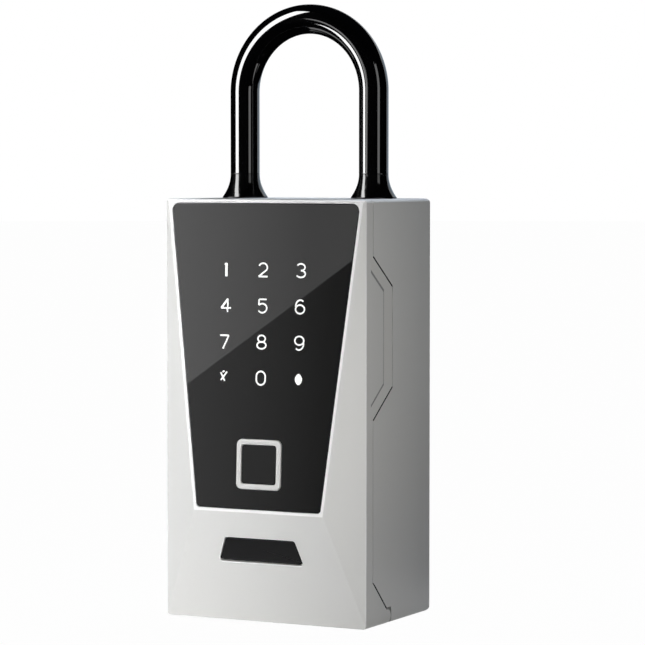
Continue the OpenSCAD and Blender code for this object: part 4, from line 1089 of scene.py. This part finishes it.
class LOCKBOX_OT_stage(bpy.types.Operator):
    """Camera, lamps, pale floor, white surroundings and reflection cards"""

    bl_idname = "lockbox.stage"
    bl_label = "Studio"

    def around(self, degrees, reach, height=0.0):
        """Place at an azimuth, which counts from the front to the right."""
        turn = math.radians(degrees)
        return Vector((math.sin(turn) * reach, -math.cos(turn) * reach, height))

    def own_tree(self, data):
        """Emptied node tree of a material or a world."""
        data.use_nodes = True
        data.node_tree.nodes.clear()
        return data.node_tree

    def seen(self, tree):
        """Socket that is 1 for what the camera sees by itself, mirrored or through glass."""
        path = add_node(tree, "ShaderNodeLightPath").outputs
        direct = add_node(tree, "ShaderNodeMath", {
            0: path["Is Camera Ray"], 1: path["Is Glossy Ray"]}, operation="MAXIMUM").outputs[0]
        return add_node(tree, "ShaderNodeMath", {
            0: direct, 1: path["Is Transmission Ray"]}, operation="MAXIMUM").outputs[0]

    def card(self, name, corners, strength, fade=None, colour="#ffffff"):
        """A card that only reflections see, light with a strength and black at zero. fade is
        two places along X, and the strengths between which the card changes there."""
        bm = bmesh.new()
        bm.faces.new([bm.verts.new(c) for c in corners])
        material = bpy.data.materials.new(name)
        tree = self.own_tree(material)
        if fade:
            spot = add_node(tree, "ShaderNodeTexCoord").outputs["Object"]
            across = add_node(tree, "ShaderNodeSeparateXYZ", {"Vector": spot}).outputs["X"]
            strength = add_node(tree, "ShaderNodeMapRange", {
                "Value": across, "From Min": fade[0], "From Max": fade[1],
                "To Min": fade[2], "To Max": fade[3]}).outputs[0]
        glow = add_node(tree, "ShaderNodeEmission", {"Color": linear(colour), "Strength": strength})
        add_node(tree, "ShaderNodeOutputMaterial", {"Surface": glow.outputs[0]})
        card = as_object(bm, name, [material])
        card.visible_camera = card.visible_diffuse = card.visible_shadow = False
        card.visible_transmission = card.visible_volume_scatter = False

    def upright(self, name, ends, low, high, strength, fade=None, colour="#ffffff"):
        """An upright card between two places on the floor."""
        (x1, y1), (x2, y2) = (Vector(end).xy for end in ends)
        self.card(name, [(x1, y1, low), (x2, y2, low), (x2, y2, high), (x1, y1, high)],
                  strength, fade, colour)

    def lamp(self, name, azimuth, reach, height, aim, width, spread, colour, watts):
        """A square lamp that shines on a point in a beam."""
        light = bpy.data.lights.new(name, "AREA")
        light.shape = "SQUARE"
        light.size = width
        light.spread = math.radians(spread)
        light.energy = watts
        light.color = linear(colour)[:3]
        lamp = bpy.data.objects.new(name, light)
        lamp.location = self.around(azimuth, reach, height)
        lamp.rotation_euler = (lamp.location - Vector(aim)).to_track_quat("Z", "Y").to_euler()
        lamp.visible_camera = lamp.visible_glossy = False
        bpy.context.scene.collection.objects.link(lamp)

    def execute(self, context):
        scene = context.scene
        studio = scene.lockbox_studio
        scene.view_settings.view_transform = "Standard"

        back = Vector((math.sin(CAMERA_AZIMUTH) * math.cos(CAMERA_ELEVATION),
                       -math.cos(CAMERA_AZIMUTH) * math.cos(CAMERA_ELEVATION),
                       math.sin(CAMERA_ELEVATION)))
        lens = bpy.data.cameras.new("camera")
        lens.sensor_width = CAMERA_SENSOR
        lens.lens = CAMERA_LENS
        lens.clip_start = CAMERA_NEAR
        camera = bpy.data.objects.new("camera", lens)
        camera.location = CAMERA_SPOT
        camera.rotation_euler = back.to_track_quat("Z", "Y").to_euler()
        scene.collection.objects.link(camera)
        scene.camera = camera

        for name, *values in LAMPS:
            self.lamp(name + "_light", *values, getattr(studio, name + "_power"))

        world = bpy.data.worlds.new("surroundings")
        scene.world = world
        tree = self.own_tree(world)
        strength = add_node(tree, "ShaderNodeMapRange", {
            "Value": self.seen(tree), "To Min": studio.ambient, "To Max": 1.0}).outputs[0]
        sky = add_node(tree, "ShaderNodeBackground", {
            "Color": linear("#ffffff"), "Strength": strength})
        add_node(tree, "ShaderNodeOutputWorld", {"Surface": sky.outputs[0]})

        # White paper that glows where it is seen, and takes and gives light as a grey floor
        paper = bpy.data.materials.new("floor_paper")
        tree = self.own_tree(paper)
        share = add_node(tree, "ShaderNodeMath", {0: self.seen(tree), 1: FLOOR_GLOW},
                         operation="MULTIPLY").outputs[0]
        matt = add_node(tree, "ShaderNodeBsdfDiffuse", {"Color": studio.floor}).outputs[0]
        glow = add_node(tree, "ShaderNodeEmission", {
            "Color": linear("#ffffff"), "Strength": 1.0}).outputs[0]
        both = add_node(tree, "ShaderNodeMixShader", {0: share, 1: matt, 2: glow}).outputs[0]
        add_node(tree, "ShaderNodeOutputMaterial", {"Surface": both})
        bm = bmesh.new()
        bmesh.ops.create_circle(bm, cap_ends=True, segments=FLOOR_STEPS, radius=FLOOR_RADIUS)
        floor = as_object(bm, "floor", [paper])

        self.card("flag_front", FRONT_FLAG, 0.0, FRONT_FLAG_FADE)
        self.upright("card_front", [(-0.45, -0.602), (0.4, -0.602)], -0.15, 0.6, 1.0,
                     FRONT_CARD_FADE)
        self.upright("flag_upper", [(-0.4, -0.59), (0.9, -0.59)], 0.2, 1.2, 0.0)
        for name, x1, x2, y1, y2, z in LEVEL_FLAGS:
            self.card(name, [(x1, y1, z), (x2, y1, z), (x2, y2, z), (x1, y2, z)], 0.0)
        for name, start, end, reach, low, high, strength, colour in ROUND_CARDS:
            self.upright(name, [self.around(start, reach), self.around(end, reach)], low, high,
                         strength, colour=colour)
        for name, start, end, strength in NEAR_CARDS:
            self.upright(name, [NEAR_SPOT + NEAR_ALONG * start, NEAR_SPOT + NEAR_ALONG * end],
                         NEAR_LOW, NEAR_HIGH, strength)
        return {"FINISHED"}


class LOCKBOX_PT_panel(bpy.types.Panel):
    """Pieces of the lockbox and their values"""

    bl_idname = "LOCKBOX_PT_panel"
    bl_label = "Key lockbox"
    bl_space_type = "VIEW_3D"
    bl_region_type = "UI"
    bl_category = "Lockbox"

    def draw(self, context):
        for operator in OPERATORS:
            self.layout.operator(operator.bl_idname)
        for name in GROUPS:
            group = getattr(context.scene, name)
            box = self.layout.box()
            for value in group.__annotations__:
                box.prop(group, value)


OPERATORS = [
    LOCKBOX_OT_stage, LOCKBOX_OT_body, LOCKBOX_OT_door, LOCKBOX_OT_shackle, LOCKBOX_OT_keypad,
    LOCKBOX_OT_reader, LOCKBOX_OT_port, LOCKBOX_OT_screws, LOCKBOX_OT_cells,
    LOCKBOX_OT_door_inside, LOCKBOX_OT_latch, LOCKBOX_OT_inside,
]
GROUPS = {"lockbox_sizes": LockboxSizes, "lockbox_colours": LockboxColours,
          "lockbox_studio": LockboxStudio}


def register():
    for kind in [*GROUPS.values(), *OPERATORS, LOCKBOX_PT_panel]:
        bpy.utils.register_class(kind)
    for name, group in GROUPS.items():
        setattr(bpy.types.Scene, name, PointerProperty(type=group))


def unregister():
    for name in GROUPS:
        delattr(bpy.types.Scene, name)
    for kind in reversed([*GROUPS.values(), *OPERATORS, LOCKBOX_PT_panel]):
        bpy.utils.unregister_class(kind)


def main():
    register()
    for operator in OPERATORS:
        group, name = operator.bl_idname.split(".")
        getattr(getattr(bpy.ops, group), name)()


if __name__ == "__main__":
    main()
